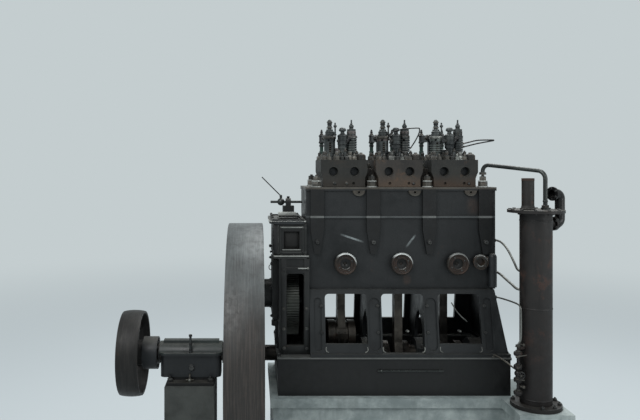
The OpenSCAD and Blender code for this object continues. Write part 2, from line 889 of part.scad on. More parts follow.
// left: slotted cage with its spindle and the thin pin beside it
module valve_cage() {
  z0 = head_top;
  z1 = z0 + cage_h;
  top = z0 + spindle_h;
  difference() {
    cz(z0, z1, 0, 0, cage_d / 2);
    for (a = [0, 90]) rotate([0, 0, a])
      bx(-cage_d, cage_d, -cage_slot / 2, cage_slot / 2, z0 + cage_slot_low, z1 - cage_slot_high);
  }
  cz(z0, z0 + cage_foot_t, 0, 0, cage_d / 2 + cage_foot_lip);
  cz(z1 - cage_cap_in, z1 + cage_cap_out, 0, 0, cage_d / 2 + cage_cap_lip);
  cz(z1, z1 + stem_h, 0, 0, stem_r);
  cz(z1 + stem_ring_low, z1 + stem_ring_low + stem_ring_t, 0, 0, stem_ring_r);
  cz(z1 + stem_h - 2, top - top_ball_r / 2, 0, 0, spindle_r);
  translate([0, 0, z1 + ball_up]) sphere(r = ball_r);
  translate([0, 0, top - top_ball_r]) sphere(r = top_ball_r);
  cz(z1 - cage_cap_in / 2, top - 2 * pin_ball, pin_off, 0, pin_thin);
  translate([pin_off, 0, top - 4 * pin_ball]) sphere(r = pin_ball);
  bx(pin_off / 3, pin_off + pin_thin, -link_half, link_half, z1 + link_up, z1 + link_up + 2 * link_half);
}

// middle: injector with its mushroom cap
module injector() {
  z0 = head_top;
  neck = z0 + inj_high + inj_neck;
  cz(z0, z0 + inj_low, 0, 0, inj_r);
  cz(z0 + inj_low, z0 + inj_high, 0, 0, inj_rad);
  cz(z0 + inj_ring_up, z0 + inj_ring_up + inj_ring_t, 0, 0, inj_ring_r);
  cz(z0 + inj_high, neck, 0, 0, inj_neck_r);
  cz(neck, neck + inj_cap_t, 0, 0, inj_cap_r);
  translate([0, 0, neck + inj_cap_t]) scale([1, 1, 0.6]) sphere(r = inj_cap_r);
}

// right: spring unit with stacked discs
module spring_unit() {
  z0 = head_top;
  top = z0 + spindle_h;
  cap = z0 + spring_cap_low;
  cz(z0, z0 + spring_h, 0, 0, stem_r);
  cz(z0, z0 + spring_foot_h, 0, 0, spring_foot_r);
  for (k = [0:fin_count - 1])
    cz(z0 + fin_low + k * fin_pitch, z0 + fin_low + fin_t + k * fin_pitch, 0, 0, disc_rad);
  cz(cap, cap + spring_cap_h, 0, 0, spring_cap_r);
  cz(cap + spring_cap_h - 4, top - tip_h, 0, 0, spring_rod_r);
  translate([0, 0, z0 + spring_ball_up]) sphere(r = ball_r);
  cz(top - tip_h, top, 0, 0, pin_thin);
}

module valve_gear(x) {
  color([0.24, 0.23, 0.22]) on_top() {
    translate([x - valve_x, 0, 0]) valve_cage();
    translate([x + inj_x, inj_y, 0]) injector();
    translate([x + valve_x, 0, 0]) spring_unit();
  }
}

rocker_z = 180;
rocker_half = 28;
rocker_w = 11;
rocker_eye = 20;
nose_gap = 5;
pivot_in = 34;
pivot_r = 32;
pivot_half = 24;
bracket_half = 16;
bracket_deep = 22;
pivot_y = head_d / 2 - pivot_in;
module rocker_arms() {
  nose = cage_d / 2 + nose_gap;
  color([0.2, 0.2, 0.2]) on_top() for (c = cyl, s = [-1, 1]) {
    x = c + s * valve_x;
    z = head_top + rocker_z;
    // arm, bent behind its pivot towards the push rod
    translate([x, 0, z - rocker_half]) linear_extrude(height = 2 * rocker_half)
      polygon([[-rocker_w, nose], [rocker_w, nose], [rocker_w, pivot_y],
        [rocker_w - rod_shift, push_y], [-rocker_w - rod_shift, push_y], [-rocker_w, pivot_y]]);
    cz(z - rocker_half, z + rocker_half, x - rod_shift, push_y, rocker_eye);
    cx(x - pivot_half, x + pivot_half, pivot_y, z, pivot_r);
    // bracket that carries the pivot
    bx(x - bracket_half, x + bracket_half, pivot_y - bracket_deep, pivot_y + bracket_deep,
      head_top, z - pivot_r / 3);
  }
}

guide_r = 31;
guide_over = 4;
guide_cone = 68;
screw_nut_r = 15;
screw_nut_t = 16;
screw_r = 7;
screw_h = 40;
module push_rods() {
  arm_under = head_top + rocker_z - rocker_half;
  arm_over = head_top + rocker_z + rocker_half;
  guide_top = head_top + guide_over;
  color([0.15, 0.18, 0.17]) on_top() for (c = cyl, s = [-1, 1]) {
    x = c + s * valve_x - rod_shift;
    cz(cam_top, arm_under - seat, x, push_y, push_d / 2);
    // guide with its conical top
    cz(cam_top, guide_top, x, push_y, guide_r);
    translate([x, push_y, guide_top - eps])
      cylinder(h = guide_cone, r1 = guide_r, r2 = push_d / 2 + 1);
    // adjusting screw over the arm
    cz(arm_over + seat, arm_over + screw_nut_t, x, push_y, screw_nut_r);
    cz(arm_over + screw_nut_t - eps, arm_over + screw_h, x, push_y, screw_r);
  }
}

cam_drop = 20;
cam_top = block_top - flange_t - cam_drop;
cam_in = 10;
cam_short = 60;
cam_rim = 7;
module camshaft_housing() {
  x0 = block_l + cam_in;
  x1 = block_r - cam_short;
  y0 = block_d / 2 + casing_out + seat;
  y1 = y0 + cam_d;
  mid = cam_top - cam_h / 2;
  color([0.18, 0.19, 0.19]) on_top() {
    bx(x0, x1, y0, y1, cam_top - cam_h, cam_top);
    // rim of the bolted front
    bx(x0 - cam_rim, x1 + cam_rim, y0, y1 + cam_rim, mid - cam_rim, mid + cam_rim);
  }
}

pipe_r = 5;
loop_from = 160;
loop_low = 98;
loop_high = 250;
loop_out = 210;
loop_front = 90;
narrow_to = 338;
narrow_up = 140;
narrow_from = 117;
narrow_gap = 3;
// two thin fuel pipes that stand clear between their unions
module fuel_pipes() {
  z = head_top;
  from = inj_x - inj_rad - seat;
  to = valve_x + disc_rad + seat;
  mid_up = (loop_from + loop_high) / 2;
  c = cyl[2];
  color([0.2, 0.19, 0.18]) on_top() {
    // loop of the middle cylinder, from the injector over to the spring unit
    polyline_pipe([[from, inj_y, z + loop_from], [from - 18, inj_y - 2, z + loop_from + 2],
      [from - 24, inj_y - 10, z + loop_from + 18], [from - 18, inj_y * 2, z + mid_up - 5],
      [16, -loop_front, z + loop_high - 18], [60, -loop_front, z + loop_high - 8],
      [loop_out - 20, inj_y * 2, z + loop_high], [loop_out, inj_y - 20, z + loop_high - 10],
      [loop_out - 6, inj_y - 16, z + mid_up + 5], [loop_out - 30, inj_y, z + loop_from - 10],
      [to + 33, 0, z + loop_low + 6], [to + 23, 0, z + loop_low], [to, 0, z + loop_low]], pipe_r);
    // narrow loop beside the last cylinder
    polyline_pipe([[c + to, -6, z + narrow_from], [c + to + 23, -6, z + narrow_from],
      [c + narrow_to - 8, 10, z + narrow_up], [c + narrow_to, 10, z + narrow_up - narrow_gap],
      [c + narrow_to - 8, 10, z + narrow_up - 8], [c + to + 23, -6, z + loop_low],
      [c + to, -6, z + loop_low]], pipe_r);
  }
}

// space that the block and the frame's end keep free in the gear column
module block_room() {
  deep = block_d / 2 + casing_out + seat;
  bx(block_l - seat, 0, -deep, deep, frame_top - seat, block_top + 100);
}

axle_r = 30;
slot_shift = 6;
slot_round = 18;
side_t = 48;
side_half = 190;
side_low = 107;
side_high = 342;
drive_r = 110;
drive_out = 56;
drive_up = 59;
ledge_t = 22;
ledge_out = 45;
ledge_lip = 8;
pipe_off = 4;
feed_r = 18;
feed_flange_r = 46;
feed_flange_t = 38;
feed_low = 156;
module gear_case_lower() {
  hd = gear_case_d / 2;
  z0 = bed_top;
  z1 = bed_top + gear_low_h;
  w = gear_wall;
  inner_r = block_l - seat - w;
  mid = (case_l + case_r) / 2 + slot_shift;
  gear_z = axis_up + gear_up;
  color([0.17, 0.18, 0.18]) on_top() {
    difference() {
      union() {
        bx(case_l, case_r - seat, -hd, hd, z0, z1);
        bx(case_l - ledge_out, case_r - 2, -hd - ledge_lip, hd + ledge_lip, z1 - ledge_t, z1);
        // housing on the outer side, with the round drive and its flanged pipe
        bx(case_l - side_t, case_l + eps, -side_half, side_half, gear_z - side_low, gear_z + side_high);
        cx(case_l - side_t - drive_out, case_l + eps, 0, gear_z + drive_up, drive_r);
        cz(bed_top, gear_z - side_low + eps, case_l - pipe_off, 0, feed_r);
        cz(gear_z - feed_low - feed_flange_t, gear_z - feed_low, case_l - pipe_off, 0, feed_flange_r);
      }
      bx(case_l + w, inner_r, -hd + w, hd - w, z0 - eps, z1 - w);
      arch_cut(mid, slot_w, z0 + slot_sill, z0 + slot_sill + slot_h, -hd - ledge_lip - eps, -hd + w + eps,
        slot_round);
      block_room();
    }
    // fixed axle of the timing gear
    cx(case_l + w - eps, inner_r + eps, 0, gear_z, axle_r);
  }
}

upper_in = 14;
upper_out = 44;
win_shift = 20;
win_half = 58;
win_low = 50;
win_high = 56;
mould_half = 92;
mould_low = 18;
mould_high = 22;
mould_out = 9;
mould_deep = 6;
mould_w = 14;
module gear_case_upper() {
  front = -gear_case_d / 2 + upper_in;
  z0 = bed_top + gear_low_h;
  z1 = z0 + gear_up_h;
  w = gear_wall;
  x0 = case_l - upper_out;
  x1 = block_l - seat;
  mid = (case_l + case_r) / 2 - win_shift;
  inner = mould_half - mould_w;
  color([0.17, 0.18, 0.18]) on_top() difference() {
    union() {
      bx(x0, x1, front, -front, z0, z1);
      // raised moulding round the window
      bx(mid - mould_half, mid + mould_half, front - mould_out, front + eps,
        z0 + mould_low, z1 - mould_high);
    }
    bx(x0 + w, x1 - w, front + w, -front - w, z0 - eps, z1 + eps);
    bx(mid - inner, mid + inner, front - mould_out - eps, front - mould_out + mould_deep,
      z0 + mould_low + mould_w, z1 - mould_high - mould_w);
    bx(mid - win_half, mid + win_half, front - mould_out - eps, front + w + eps,
      z0 + win_low, z1 - win_high);
  }
}

cover_r = 60;
cover_out = 72;
cover_lip = 10;
cover_t = 20;
cover_step = 20;
cover_step_t = 14;
cover_dish = 15;
cover_dish_deep = 10;
module gear_case_cover() {
  right = block_l - seat;
  left = case_l - cover_out;
  w = right - left;
  d = gear_case_d + 2 * cover_lip;
  z0 = bed_top + gear_low_h + gear_up_h;
  dish = cover_step + cover_dish;
  color([0.2, 0.21, 0.21]) on_top() translate([(left + right) / 2, 0, z0]) difference() {
    union() {
      rounded_slab(w, d, cover_t, cover_r);
      translate([0, 0, cover_t])
        rounded_slab(w - 2 * cover_step, d - 2 * cover_step - cover_lip, cover_step_t,
          cover_r - cover_step);
    }
    translate([0, 0, cover_t + cover_step_t - cover_dish_deep])
      rounded_slab(w - 2 * dish, d - 2 * dish - 2 * cover_lip, cover_t, cover_r - cover_dish * 2);
  }
}

tooth_deep = 11;
gear_rim = 34;
gear_disc_t = 26;
gear_shift = 7;
gear_hub_r = 60;
gear_holes = 6;
gear_hole_r = 34;
gear_hole_at = 136;
function tooth_ring(n, r0, r1) = [
  for (k = [0:n - 1], q = [[-0.32, 0], [-0.14, 1], [0.14, 1], [0.32, 0]])
    let (a = (k + q[0]) * 360 / n, r = q[1] > 0 ? r1 : r0) [r * cos(a), r * sin(a)]
];
module timing_gear() {
  mid = (case_l + case_r) / 2 - gear_shift;
  root_r = gear_r - tooth_deep;
  color([0.3, 0.3, 0.28])
    translate([mid, 0, found_h + axis_up + gear_up]) rotate([0, 90, 0]) difference() {
      union() {
        translate([0, 0, -gear_face / 2]) linear_extrude(height = gear_face) difference() {
          polygon(tooth_ring(gear_teeth, root_r, gear_r));
          circle(r = root_r - gear_rim);
        }
        cylinder(h = gear_disc_t, r = root_r - gear_rim + 4, center = true);
        cylinder(h = gear_face, r = gear_hub_r, center = true);
      }
      cylinder(h = gear_face + 2, r = axle_r + run_fit, center = true);
      for (k = [0:gear_holes - 1]) rotate([0, 0, k * 360 / gear_holes])
        translate([gear_hole_at, 0, 0]) cylinder(h = 2 * gear_disc_t, r = gear_hole_r, center = true);
    }
}

ctrl_up = 150;
ctrl_z = bed_top + gear_low_h + gear_up_h + ctrl_up;
ctrl_mid = (case_l + case_r) / 2 - 30;
bracket_base = 144;
bracket_base_d = 240;
bracket_base_t = 26;
bracket_w = 88;
bracket_d = 92;
ear_half = 20;
ear_r = 30;
knob_h = 44;
knob_r = 11;
module control_bracket() {
  z0 = bed_top + gear_low_h + gear_up_h + cover_t + cover_step_t - cover_dish_deep;
  zc = ctrl_z;
  xm = ctrl_mid;
  color([0.2, 0.2, 0.19]) on_top() difference() {
    union() {
      bx(xm - bracket_base / 2, xm + bracket_base / 2, -bracket_base_d / 2, bracket_base_d / 2,
        z0, z0 + bracket_base_t);
      bx(xm - bracket_w / 2, xm + bracket_w / 2, -bracket_d / 2, bracket_d / 2,
        z0 + bracket_base_t - eps, zc - ear_r);
      bx(xm - ear_half, xm + ear_half, -ear_r, ear_r, zc - ear_r - 10, zc);
      cx(xm - ear_half, xm + ear_half, 0, zc, ear_r);
      cz(zc, zc + knob_h, xm, 0, knob_r);
    }
    cx(xm - bracket_w, xm + bracket_w, 0, zc, ctrl_d / 2 + run_fit);
  }
}

ctrl_left = 140;
ctrl_right = 110;
module control_shaft() {
  color([0.16, 0.16, 0.16]) on_top()
    cx(ctrl_mid - ctrl_left, ctrl_mid + ctrl_right, 0, ctrl_z, ctrl_d / 2);
}

lever_off = 58;
lever_hub_r = 29;
lever_foot = 46;
lever_foot_r = 10;
module control_lever() {
  hx = ctrl_mid - lever_off;
  color([0.16, 0.16, 0.16]) on_top() difference() {
    union() {
      translate([hx, 0, ctrl_z]) sphere(r = lever_hub_r);
      cz(ctrl_z, ctrl_z + lever_foot, hx, 0, lever_foot_r);
      translate([hx, 0, ctrl_z + lever_foot]) {
        sphere(r = lever_foot_r + 1);
        rotate([0, -45, 0]) cylinder(h = lever_len, r = lever_d / 2);
      }
    }
    cx(hx - 2 * lever_hub_r, hx + 2 * lever_hub_r, 0, ctrl_z, ctrl_d / 2 + run_fit);
  }
}

ped_foot_t = 22;
ped_foot_in = 10;
ped_foot_in_d = 30;
ob_drop = 165;
ob_neck_w = 270;
ob_lip = 12;
ob_body_d = 196;
ob_body_in = 15;
ob_body_round = 40;
ob_lip_round = 60;
ob_shell_in = 6;
ped_neck_in = 8;
cap_len = 434;
cap_half = 34;
cap_seat = 8;
cap_t = 12;
module bearing_pedestal() {
  zb = axis_up - ob_drop;
  color([0.19, 0.2, 0.2]) on_top() {
    bx(ob_mid - pier_w / 2 + ped_foot_in, ob_mid + pier_w / 2 - ped_foot_in,
      -pier_d / 2 + ped_foot_in_d, pier_d / 2 - ped_foot_in_d, 0, ped_foot_t);
    bx(ob_mid - ob_neck_w / 2, ob_mid + ob_neck_w / 2, -ob_body_d / 2 + ped_neck_in,
      ob_body_d / 2 - ped_neck_in, ped_foot_t - eps, zb);
  }
}

// lower half with its lip at the split
module bearing_housing() {
  zb = axis_up - ob_drop;
  zl = axis_up + ob_split;
  color([0.18, 0.19, 0.19]) on_top() difference() {
    union() {
      translate([ob_mid, 0, zb]) rounded_slab(ob_len - 2 * ob_body_in, ob_body_d, zl - zb, ob_body_round);
      translate([ob_mid, 0, zl - ob_lip]) rounded_slab(ob_len, ob_d, ob_lip, ob_lip_round);
    }
    cx(ob_left - eps, ob_right + eps, 0, axis_up, bore_r);
  }
}

// round upper half with its lip and the flat cover on its crown
module bearing_lid() {
  zl = axis_up + ob_split;
  color([0.24, 0.25, 0.25]) on_top() difference() {
    union() {
      translate([ob_mid, 0, zl]) rounded_slab(ob_len, ob_d, ob_lip, ob_lip_round);
      intersection() {
        cx(ob_left + ob_shell_in, ob_right - ob_shell_in, 0, axis_up, ob_r);
        bx(ob_left, ob_right, -ob_d, ob_d, zl, axis_up + 2 * ob_r);
      }
      bx(ob_mid - cap_len / 2, ob_mid + cap_len / 2, -cap_half, cap_half,
        axis_up + ob_r - cap_seat, axis_up + ob_r + cap_t);
    }
    cx(ob_left - eps, ob_right + eps, 0, axis_up, bore_r);
  }
}

oiler_y = 102;
oiler_top = 166;
oiler_r = 9;
oiler_foot_r = 13;
oiler_foot_t = 16;
oiler_cap_r = 13;
oiler_cap_t = 14;
// oil needle that stands on the lip in front of the round half
module lubricator() {
  z0 = axis_up + ob_split + ob_lip;
  z1 = axis_up + oiler_top;
  color([0.15, 0.14, 0.14]) on_top() {
    cz(z0, z0 + oiler_foot_t, ob_mid, -oiler_y, oiler_foot_r);
    cz(z0 + oiler_foot_t - eps, z1, ob_mid, -oiler_y, oiler_r);
    cz(z1 - oiler_cap_t, z1, ob_mid, -oiler_y, oiler_cap_r);
  }
}

branch_az = 25;
branch_down = 84;
low_disc = 182;
high_disc = 170;
disc_t = 13;
disc_r = 50;
bend_r = 34;
bend_wall = 7;
bend_curve = 36;
bend_at = 236;
bend_rise = 212;
bend_mouth = 20;
rec_foot_t = 26;
collar_t = 16;
collar_out = 12;

// at the height of the branch, with X pointing out along it
module at_branch() {
  translate([rx, ry, rec_h - branch_down]) rotate([0, 0, branch_az]) children();
}

module receiver_body() {
  color([0.2, 0.17, 0.16]) on_top() difference() {
    union() {
      cz(0, rec_h, rx, ry, rec_r);
      cz(0, rec_foot_t, rx, ry, rec_foot_d / 2);
      cz(rec_h - collar_t, rec_h, rx, ry, rec_r + collar_out);
      // branch for the return bend
      at_branch() {
        cx(rec_r - bend_r, low_disc - disc_t - seat, 0, 0, bend_r);
        cx(low_disc - 2 * disc_t - seat, low_disc - disc_t - seat, 0, 0, disc_r);
      }
    }
    cz(rec_foot_t, rec_h + eps, rx, ry, rec_r - rec_wall);
  }
}

plate_over = 82;
stub_r = 42;
stub_h = 218;
stub_wall = 7;
stub_off = 56;
module receiver_top() {
  z1 = rec_h + rec_plate_t;
  sx = rx - stub_off;
  color([0.22, 0.18, 0.16]) on_top() difference() {
    union() {
      cz(rec_h, z1, rx, ry, rec_r + plate_over);
      cz(z1 - eps, z1 + stub_h, sx, ry, stub_r);
    }
    cz(rec_h + rec_plate_t / 2, z1 + stub_h + eps, sx, ry, stub_r - stub_wall);
  }
}

goose_off = 66;
goose_near_r = 46;
goose_far_r = 60;
goose_tilt = 6;
goose_rise = 24;
goose_flange_t = 14;
// pipe from the last tie bolt over to the receiver's top
module gooseneck_pipe() {
  a = [min(block_r - nut_r - 2, mains[3]), -nut_y, tie_top];
  b = [rx + goose_off, ry, rec_h + rec_plate_t];
  run = norm([b[0] - a[0], b[1] - a[1]]);
  side = sin(goose_tilt);
  slope = cos(goose_tilt);
  // length of the sloping middle, so that the last bend ends over the plate
  mid_len = (run - goose_near_r * (1 + side) - goose_far_r * (1 - side)) / slope;
  drop_top = a[2] + goose_rise + (goose_near_r - goose_far_r) * slope - mid_len * side;
  color([0.2, 0.23, 0.22]) on_top() {
    translate(a) rotate([0, 0, atan2(b[1] - a[1], b[0] - a[0])]) rotate([90, 0, 0]) rotate([0, 0, 90])
      pipe_run([[goose_rise, -90 - goose_tilt, goose_near_r],
        [mid_len, -90 + goose_tilt, goose_far_r], [drop_top - b[2], 0, 0]], goose_d / 2);
    cz(b[2], b[2] + goose_flange_t, b[0], b[1], goose_d);
  }
}

// quarter bend in the plane XZ that starts upwards at the origin's height
module quarter(turn) {
  rotate([90, 0, 0]) rotate([0, 0, turn])
    rotate_extrude(angle = 90) translate([bend_curve, 0]) circle(r = bend_r);
}

// return bend: one leg bolted to the branch, the other open
module return_bend() {
  straight = bend_at - bend_curve;
  color([0.16, 0.15, 0.15]) on_top() at_branch() difference() {
    union() {
      cx(low_disc - disc_t, low_disc, 0, 0, disc_r);
      cx(low_disc - eps, straight, 0, 0, bend_r);
      cx(high_disc - disc_t, high_disc, 0, bend_rise, disc_r);
      cx(high_disc - eps, straight, 0, bend_rise, bend_r);
      cz(bend_curve, bend_rise - bend_curve, bend_at, 0, bend_r);
      translate([straight, 0, bend_curve]) quarter(-90);
      translate([straight, 0, bend_rise - bend_curve]) quarter(0);
    }
    cx(high_disc - disc_t - eps, high_disc + bend_mouth, 0, bend_rise, bend_r - bend_wall);
  }
}

side_y = 212;
upper_z = 1120;
upper_to = 930;
upper_r = 8;
lower_z = 880;
lower_to = 800;
lower_r = 10;
side_stub = 26;
side_end = 40;
// two pipes from the block's end down to the receiver
module side_pipes() {
  near = rec_r + 1;
  to_x = rx - near * sin(45);
  to_y = ry + near * cos(45);
  step = side_end * sin(45);
  color([0.26, 0.24, 0.22]) on_top()
    for (k = [[upper_r, upper_z, upper_to], [lower_r, lower_z, lower_to]])
      polyline_pipe([[block_r + seat, -side_y, k[1]], [block_r + side_stub, -side_y, k[1]],
        [to_x - step, to_y + step, k[2]], [to_x, to_y, k[2]]], k[0]);
}

stack_off = 162;
stack_az = 202;
stack_low = 90;
stack_top = 430;
stack_r = 9;
valve_low = 100;
valve_pitch = 90;
valve_r = 27;
valve_t = 24;
wheel_z = 245;
wheel_r = 24;
arm_low = 150;
arm_high = 415;
stack_arm_r = 10;
// thin standpipe with its valves, held by two arms
module receiver_valves() {
  x = rx + stack_off * cos(stack_az);
  y = ry + stack_off * sin(stack_az);
  color([0.2, 0.18, 0.17]) on_top() {
    cz(stack_low, stack_top, x, y, stack_r);
    for (k = [0:3]) cz(valve_low + k * valve_pitch, valve_low + k * valve_pitch + valve_t, x, y, valve_r);
    translate([x, y, wheel_z]) sphere(r = wheel_r);
    for (z = [arm_low, arm_high]) translate([rx, ry, z]) rotate([0, 0, stack_az])
      cx(rec_r + seat, stack_off, 0, 0, stack_arm_r);
  }
}

foundation();
bearing_pier();
bedplate();
drain_rod();
crank_frame();
main_bearing_caps();
crankshaft();
flywheel();
shaft_hub();
belt_pulley();
connecting_rod(0);  // connecting_rod_1
connecting_rod(1);  // connecting_rod_2
connecting_rod(2);  // connecting_rod_3
cylinder_block();
port_flanges();
water_outlet();
lifting_lugs();
tie_bolt_nuts();
cylinder_head(cyl[0]);  // cylinder_head_1
cylinder_head(cyl[1]);  // cylinder_head_2
cylinder_head(cyl[2]);  // cylinder_head_3
valve_gear(cyl[0]);  // valve_gear_1
valve_gear(cyl[1]);  // valve_gear_2
valve_gear(cyl[2]);  // valve_gear_3
rocker_arms();
push_rods();
fuel_pipes();
camshaft_housing();
gear_case_lower();
gear_case_upper();
gear_case_cover();
timing_gear();
control_bracket();
control_shaft();
control_lever();
bearing_pedestal();
bearing_housing();
bearing_lid();
lubricator();
receiver_body();
receiver_top();
gooseneck_pipe();
return_bend();
side_pipes();
receiver_valves();
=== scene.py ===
"""Looks of the three-cylinder stationary oil engine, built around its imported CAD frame."""
import math
import random

import bmesh
import bpy
from mathutils import Matrix, Vector


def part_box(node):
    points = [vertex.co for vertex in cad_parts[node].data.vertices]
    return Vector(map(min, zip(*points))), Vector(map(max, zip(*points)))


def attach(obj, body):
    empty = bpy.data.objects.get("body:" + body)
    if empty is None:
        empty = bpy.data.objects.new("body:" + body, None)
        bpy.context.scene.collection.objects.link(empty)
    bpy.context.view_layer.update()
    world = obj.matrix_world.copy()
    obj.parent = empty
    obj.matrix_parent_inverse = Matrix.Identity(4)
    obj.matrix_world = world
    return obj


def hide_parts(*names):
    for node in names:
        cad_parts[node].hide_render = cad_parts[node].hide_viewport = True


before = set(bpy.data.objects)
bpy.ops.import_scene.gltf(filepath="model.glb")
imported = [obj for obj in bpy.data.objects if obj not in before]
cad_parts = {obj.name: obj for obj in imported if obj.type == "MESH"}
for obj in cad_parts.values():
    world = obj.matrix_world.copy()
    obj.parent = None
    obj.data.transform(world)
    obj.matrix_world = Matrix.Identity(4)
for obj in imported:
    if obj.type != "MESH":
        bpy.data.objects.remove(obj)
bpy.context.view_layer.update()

FRONT, BACK = Vector((0, -1, 0)), Vector((0, 1, 0))
UP, DOWN = Vector((0, 0, 1)), Vector((0, 0, -1))
RIGHT, LEFT = Vector((1, 0, 0)), Vector((-1, 0, 0))


def side(node, corner, axis):
    """One side of a node's box at rest, in millimetres: corner 0 is the low one, 1 the high one."""
    return round(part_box(node)[corner][axis] * 1000, 1)


def middle(node, axis):
    return (side(node, 0, axis) + side(node, 1, axis)) / 2


# places from the frame, in millimetres; heights are over the bedplate's underside
FLOOR = side("foundation", 1, 2)
CYLINDERS = [middle(f"cylinder_head_{i}", 0) for i in (1, 2, 3)]
PITCH = CYLINDERS[1] - CYLINDERS[0]
MAINS = [PITCH * k for k in (-1.5, -0.5, 0.5, 1.5)]
BED_TOP = side("bedplate", 1, 2) - FLOOR
BLOCK_FRONT = side("port_flanges", 1, 1)
BLOCK_TOP = side("cylinder_head_1", 0, 2) - FLOOR
HEAD_TOP = side("valve_gear_1", 0, 2) - FLOOR
HEAD_FRONT = side("cylinder_head_1", 0, 1)
AXIS_H = middle("flywheel", 2) - FLOOR
WHEEL_X = middle("flywheel", 0)
PULLEY_X = middle("belt_pulley", 0)
BEARING_X = middle("bearing_housing", 0)
GEAR_H = middle("timing_gear", 2) - FLOOR
GEAR_CASE_LEFT = side("gear_case_lower", 0, 0)
RECEIVER_TOP = side("receiver_top", 0, 2) - FLOOR

# sizes and places that the boxes don't show, in millimetres
VALVE_X = 86
CRANK_R = 150
CRANK_PHASES = (0, 240, 120)
LUG_X, LUG_H = 103, 1485
PORT_H = 951
ROCKER_H = HEAD_TOP + 180
PUSH_Y = 340
RECEIVER_X, RECEIVER_Y = 873, -588
STAND_X, STAND_Y = 722.8, -648.7


# camera
def make_camera():
    data = bpy.data.cameras.new("camera")
    data.sensor_width = 36.0
    data.lens = 37.125
    data.shift_x = 0.105
    data.shift_y = -0.064
    data.clip_end = 200
    cam = bpy.data.objects.new("camera", data)
    bpy.context.collection.objects.link(cam)
    cam.location = (-1.113, -5.218, 2.530)
    cam.rotation_euler = (math.radians(90), 0, 0)
    bpy.context.scene.camera = cam


make_camera()


# node trees and materials
class Tree:
    """A node tree of a material or a world, built step by step."""

    def __init__(self, owner, output):
        owner.use_nodes = True
        self.nodes, self.links = owner.node_tree.nodes, owner.node_tree.links
        self.nodes.clear()
        self.out = self.nodes.new(output)

    def put(self, socket, value):
        if isinstance(value, bpy.types.NodeSocket):
            self.links.new(value, socket)
        elif isinstance(value, tuple) and len(value) == 3 and socket.type == "RGBA":
            socket.default_value = (*value, 1)
        else:
            socket.default_value = value

    def node(self, kind, inputs, output=0, **settings):
        """Adds a node with its settings and inputs, and gives one of its outputs."""
        node = self.nodes.new("ShaderNode" + kind)
        for key, value in settings.items():
            setattr(node, key, value)
        for key, value in inputs.items():
            self.put(node.inputs[key], value)
        return node.outputs[output]

    def math(self, kind, a, b):
        return self.node("Math", {0: a, 1: b}, operation=kind)

    def times(self, a, b):
        return self.math("MULTIPLY", a, b)

    def larger(self, a, b):
        return self.math("MAXIMUM", a, b)

    def backdrop_rays(self):
        """1 for the rays of the camera, of gloss and of glass, which show the backdrop."""
        rays = self.nodes.new("ShaderNodeLightPath").outputs
        camera_or_gloss = self.larger(rays["Is Camera Ray"], rays["Is Glossy Ray"])
        return self.larger(camera_or_gloss, rays["Is Transmission Ray"])


class Look(Tree):
    """A node material around one Principled shader."""

    def __init__(self, name):
        self.mat = bpy.data.materials.new(name)
        super().__init__(self.mat, "ShaderNodeOutputMaterial")
        self.bsdf = self.nodes.new("ShaderNodeBsdfPrincipled")
        self.put(self.out.inputs["Surface"], self.bsdf.outputs["BSDF"])
        self.coord = self.nodes.new("ShaderNodeTexCoord").outputs["Object"]
        self.normal = self.nodes.new("ShaderNodeNewGeometry").outputs["Normal"]

    def scaled(self, x, y, z):
        return self.node("Mapping", {"Vector": self.coord, "Scale": (x, y, z)}, "Vector")

    def noise(self, scale, detail=4.0, rough=0.55, vector=None, distortion=0.0):
        return self.node("TexNoise", {"Vector": vector or self.coord, "Scale": scale, "Detail": detail,
                                      "Roughness": rough, "Distortion": distortion}, "Fac")

    def voronoi(self, scale):
        return self.node("TexVoronoi", {"Vector": self.coord, "Scale": scale}, "Distance")

    def step(self, value, low, high, out_low=0.0, out_high=1.0):
        """Smooth change from out_low to out_high while the value goes from low to high."""
        return self.node("MapRange", {"Value": value, "From Min": low, "From Max": high, "To Min": out_low,
                                      "To Max": out_high}, "Result", interpolation_type="SMOOTHSTEP")

    def mix(self, share, a, b):
        return self.node("Mix", {"Factor": share, 6: a, 7: b}, 2, data_type="RGBA")

    def axis(self, name, vector=None):
        return self.node("SeparateXYZ", {0: vector or self.coord}, name)

    def band(self, axis, low, high, soft=0.002):
        """1 between two places along an axis, in metres, with soft ends."""
        place = self.axis(axis)
        after_low = self.step(place, low - soft, low + soft)
        return self.times(after_low, self.step(place, high - soft, high + soft, 1, 0))

    def vector(self, kind, a, b):
        output = "Value" if kind in ("DOT_PRODUCT", "DISTANCE") else "Vector"
        return self.node("VectorMath", {0: a, "Scale" if kind == "SCALE" else 1: b}, output, operation=kind)

    def streak(self, a, b, width):
        """1 on a smeared line between two points, fading to its sides."""
        line = Vector(b) - Vector(a)
        along = self.vector("DOT_PRODUCT", self.vector("SUBTRACT", self.coord, a), tuple(line))
        share = self.math("MINIMUM", self.larger(self.times(along, 1 / line.length_squared), 0.0), 1.0)
        near = self.vector("ADD", self.vector("SCALE", tuple(line), share), a)
        return self.step(self.vector("DISTANCE", self.coord, near), width * 0.3, width, 1, 0)

    def bump(self, *layers):
        """Each layer is a height, its strength and its distance in metres."""
        before = None
        for height, strength, distance in layers:
            inputs = {"Strength": strength, "Distance": distance, "Height": height}
            if before:
                inputs["Normal"] = before
            before = self.node("Bump", inputs, "Normal")
        self.put(self.bsdf.inputs["Normal"], before)

    def set(self, **values):
        for key, value in values.items():
            self.put(self.bsdf.inputs[key.replace("_", " ")], value)
        return self.mat


def rgb(r, g, b):
    """A colour as it shows on screen, 0 to 255, in linear light."""
    return tuple((c / 255 / 12.92) if c <= 10 else ((c / 255 + 0.055) / 1.055) ** 2.4 for c in (r, g, b))


def darker(colour, share):
    return tuple(c * share for c in colour)


RUST = (58, 38, 28)
DUST = (112, 110, 102)


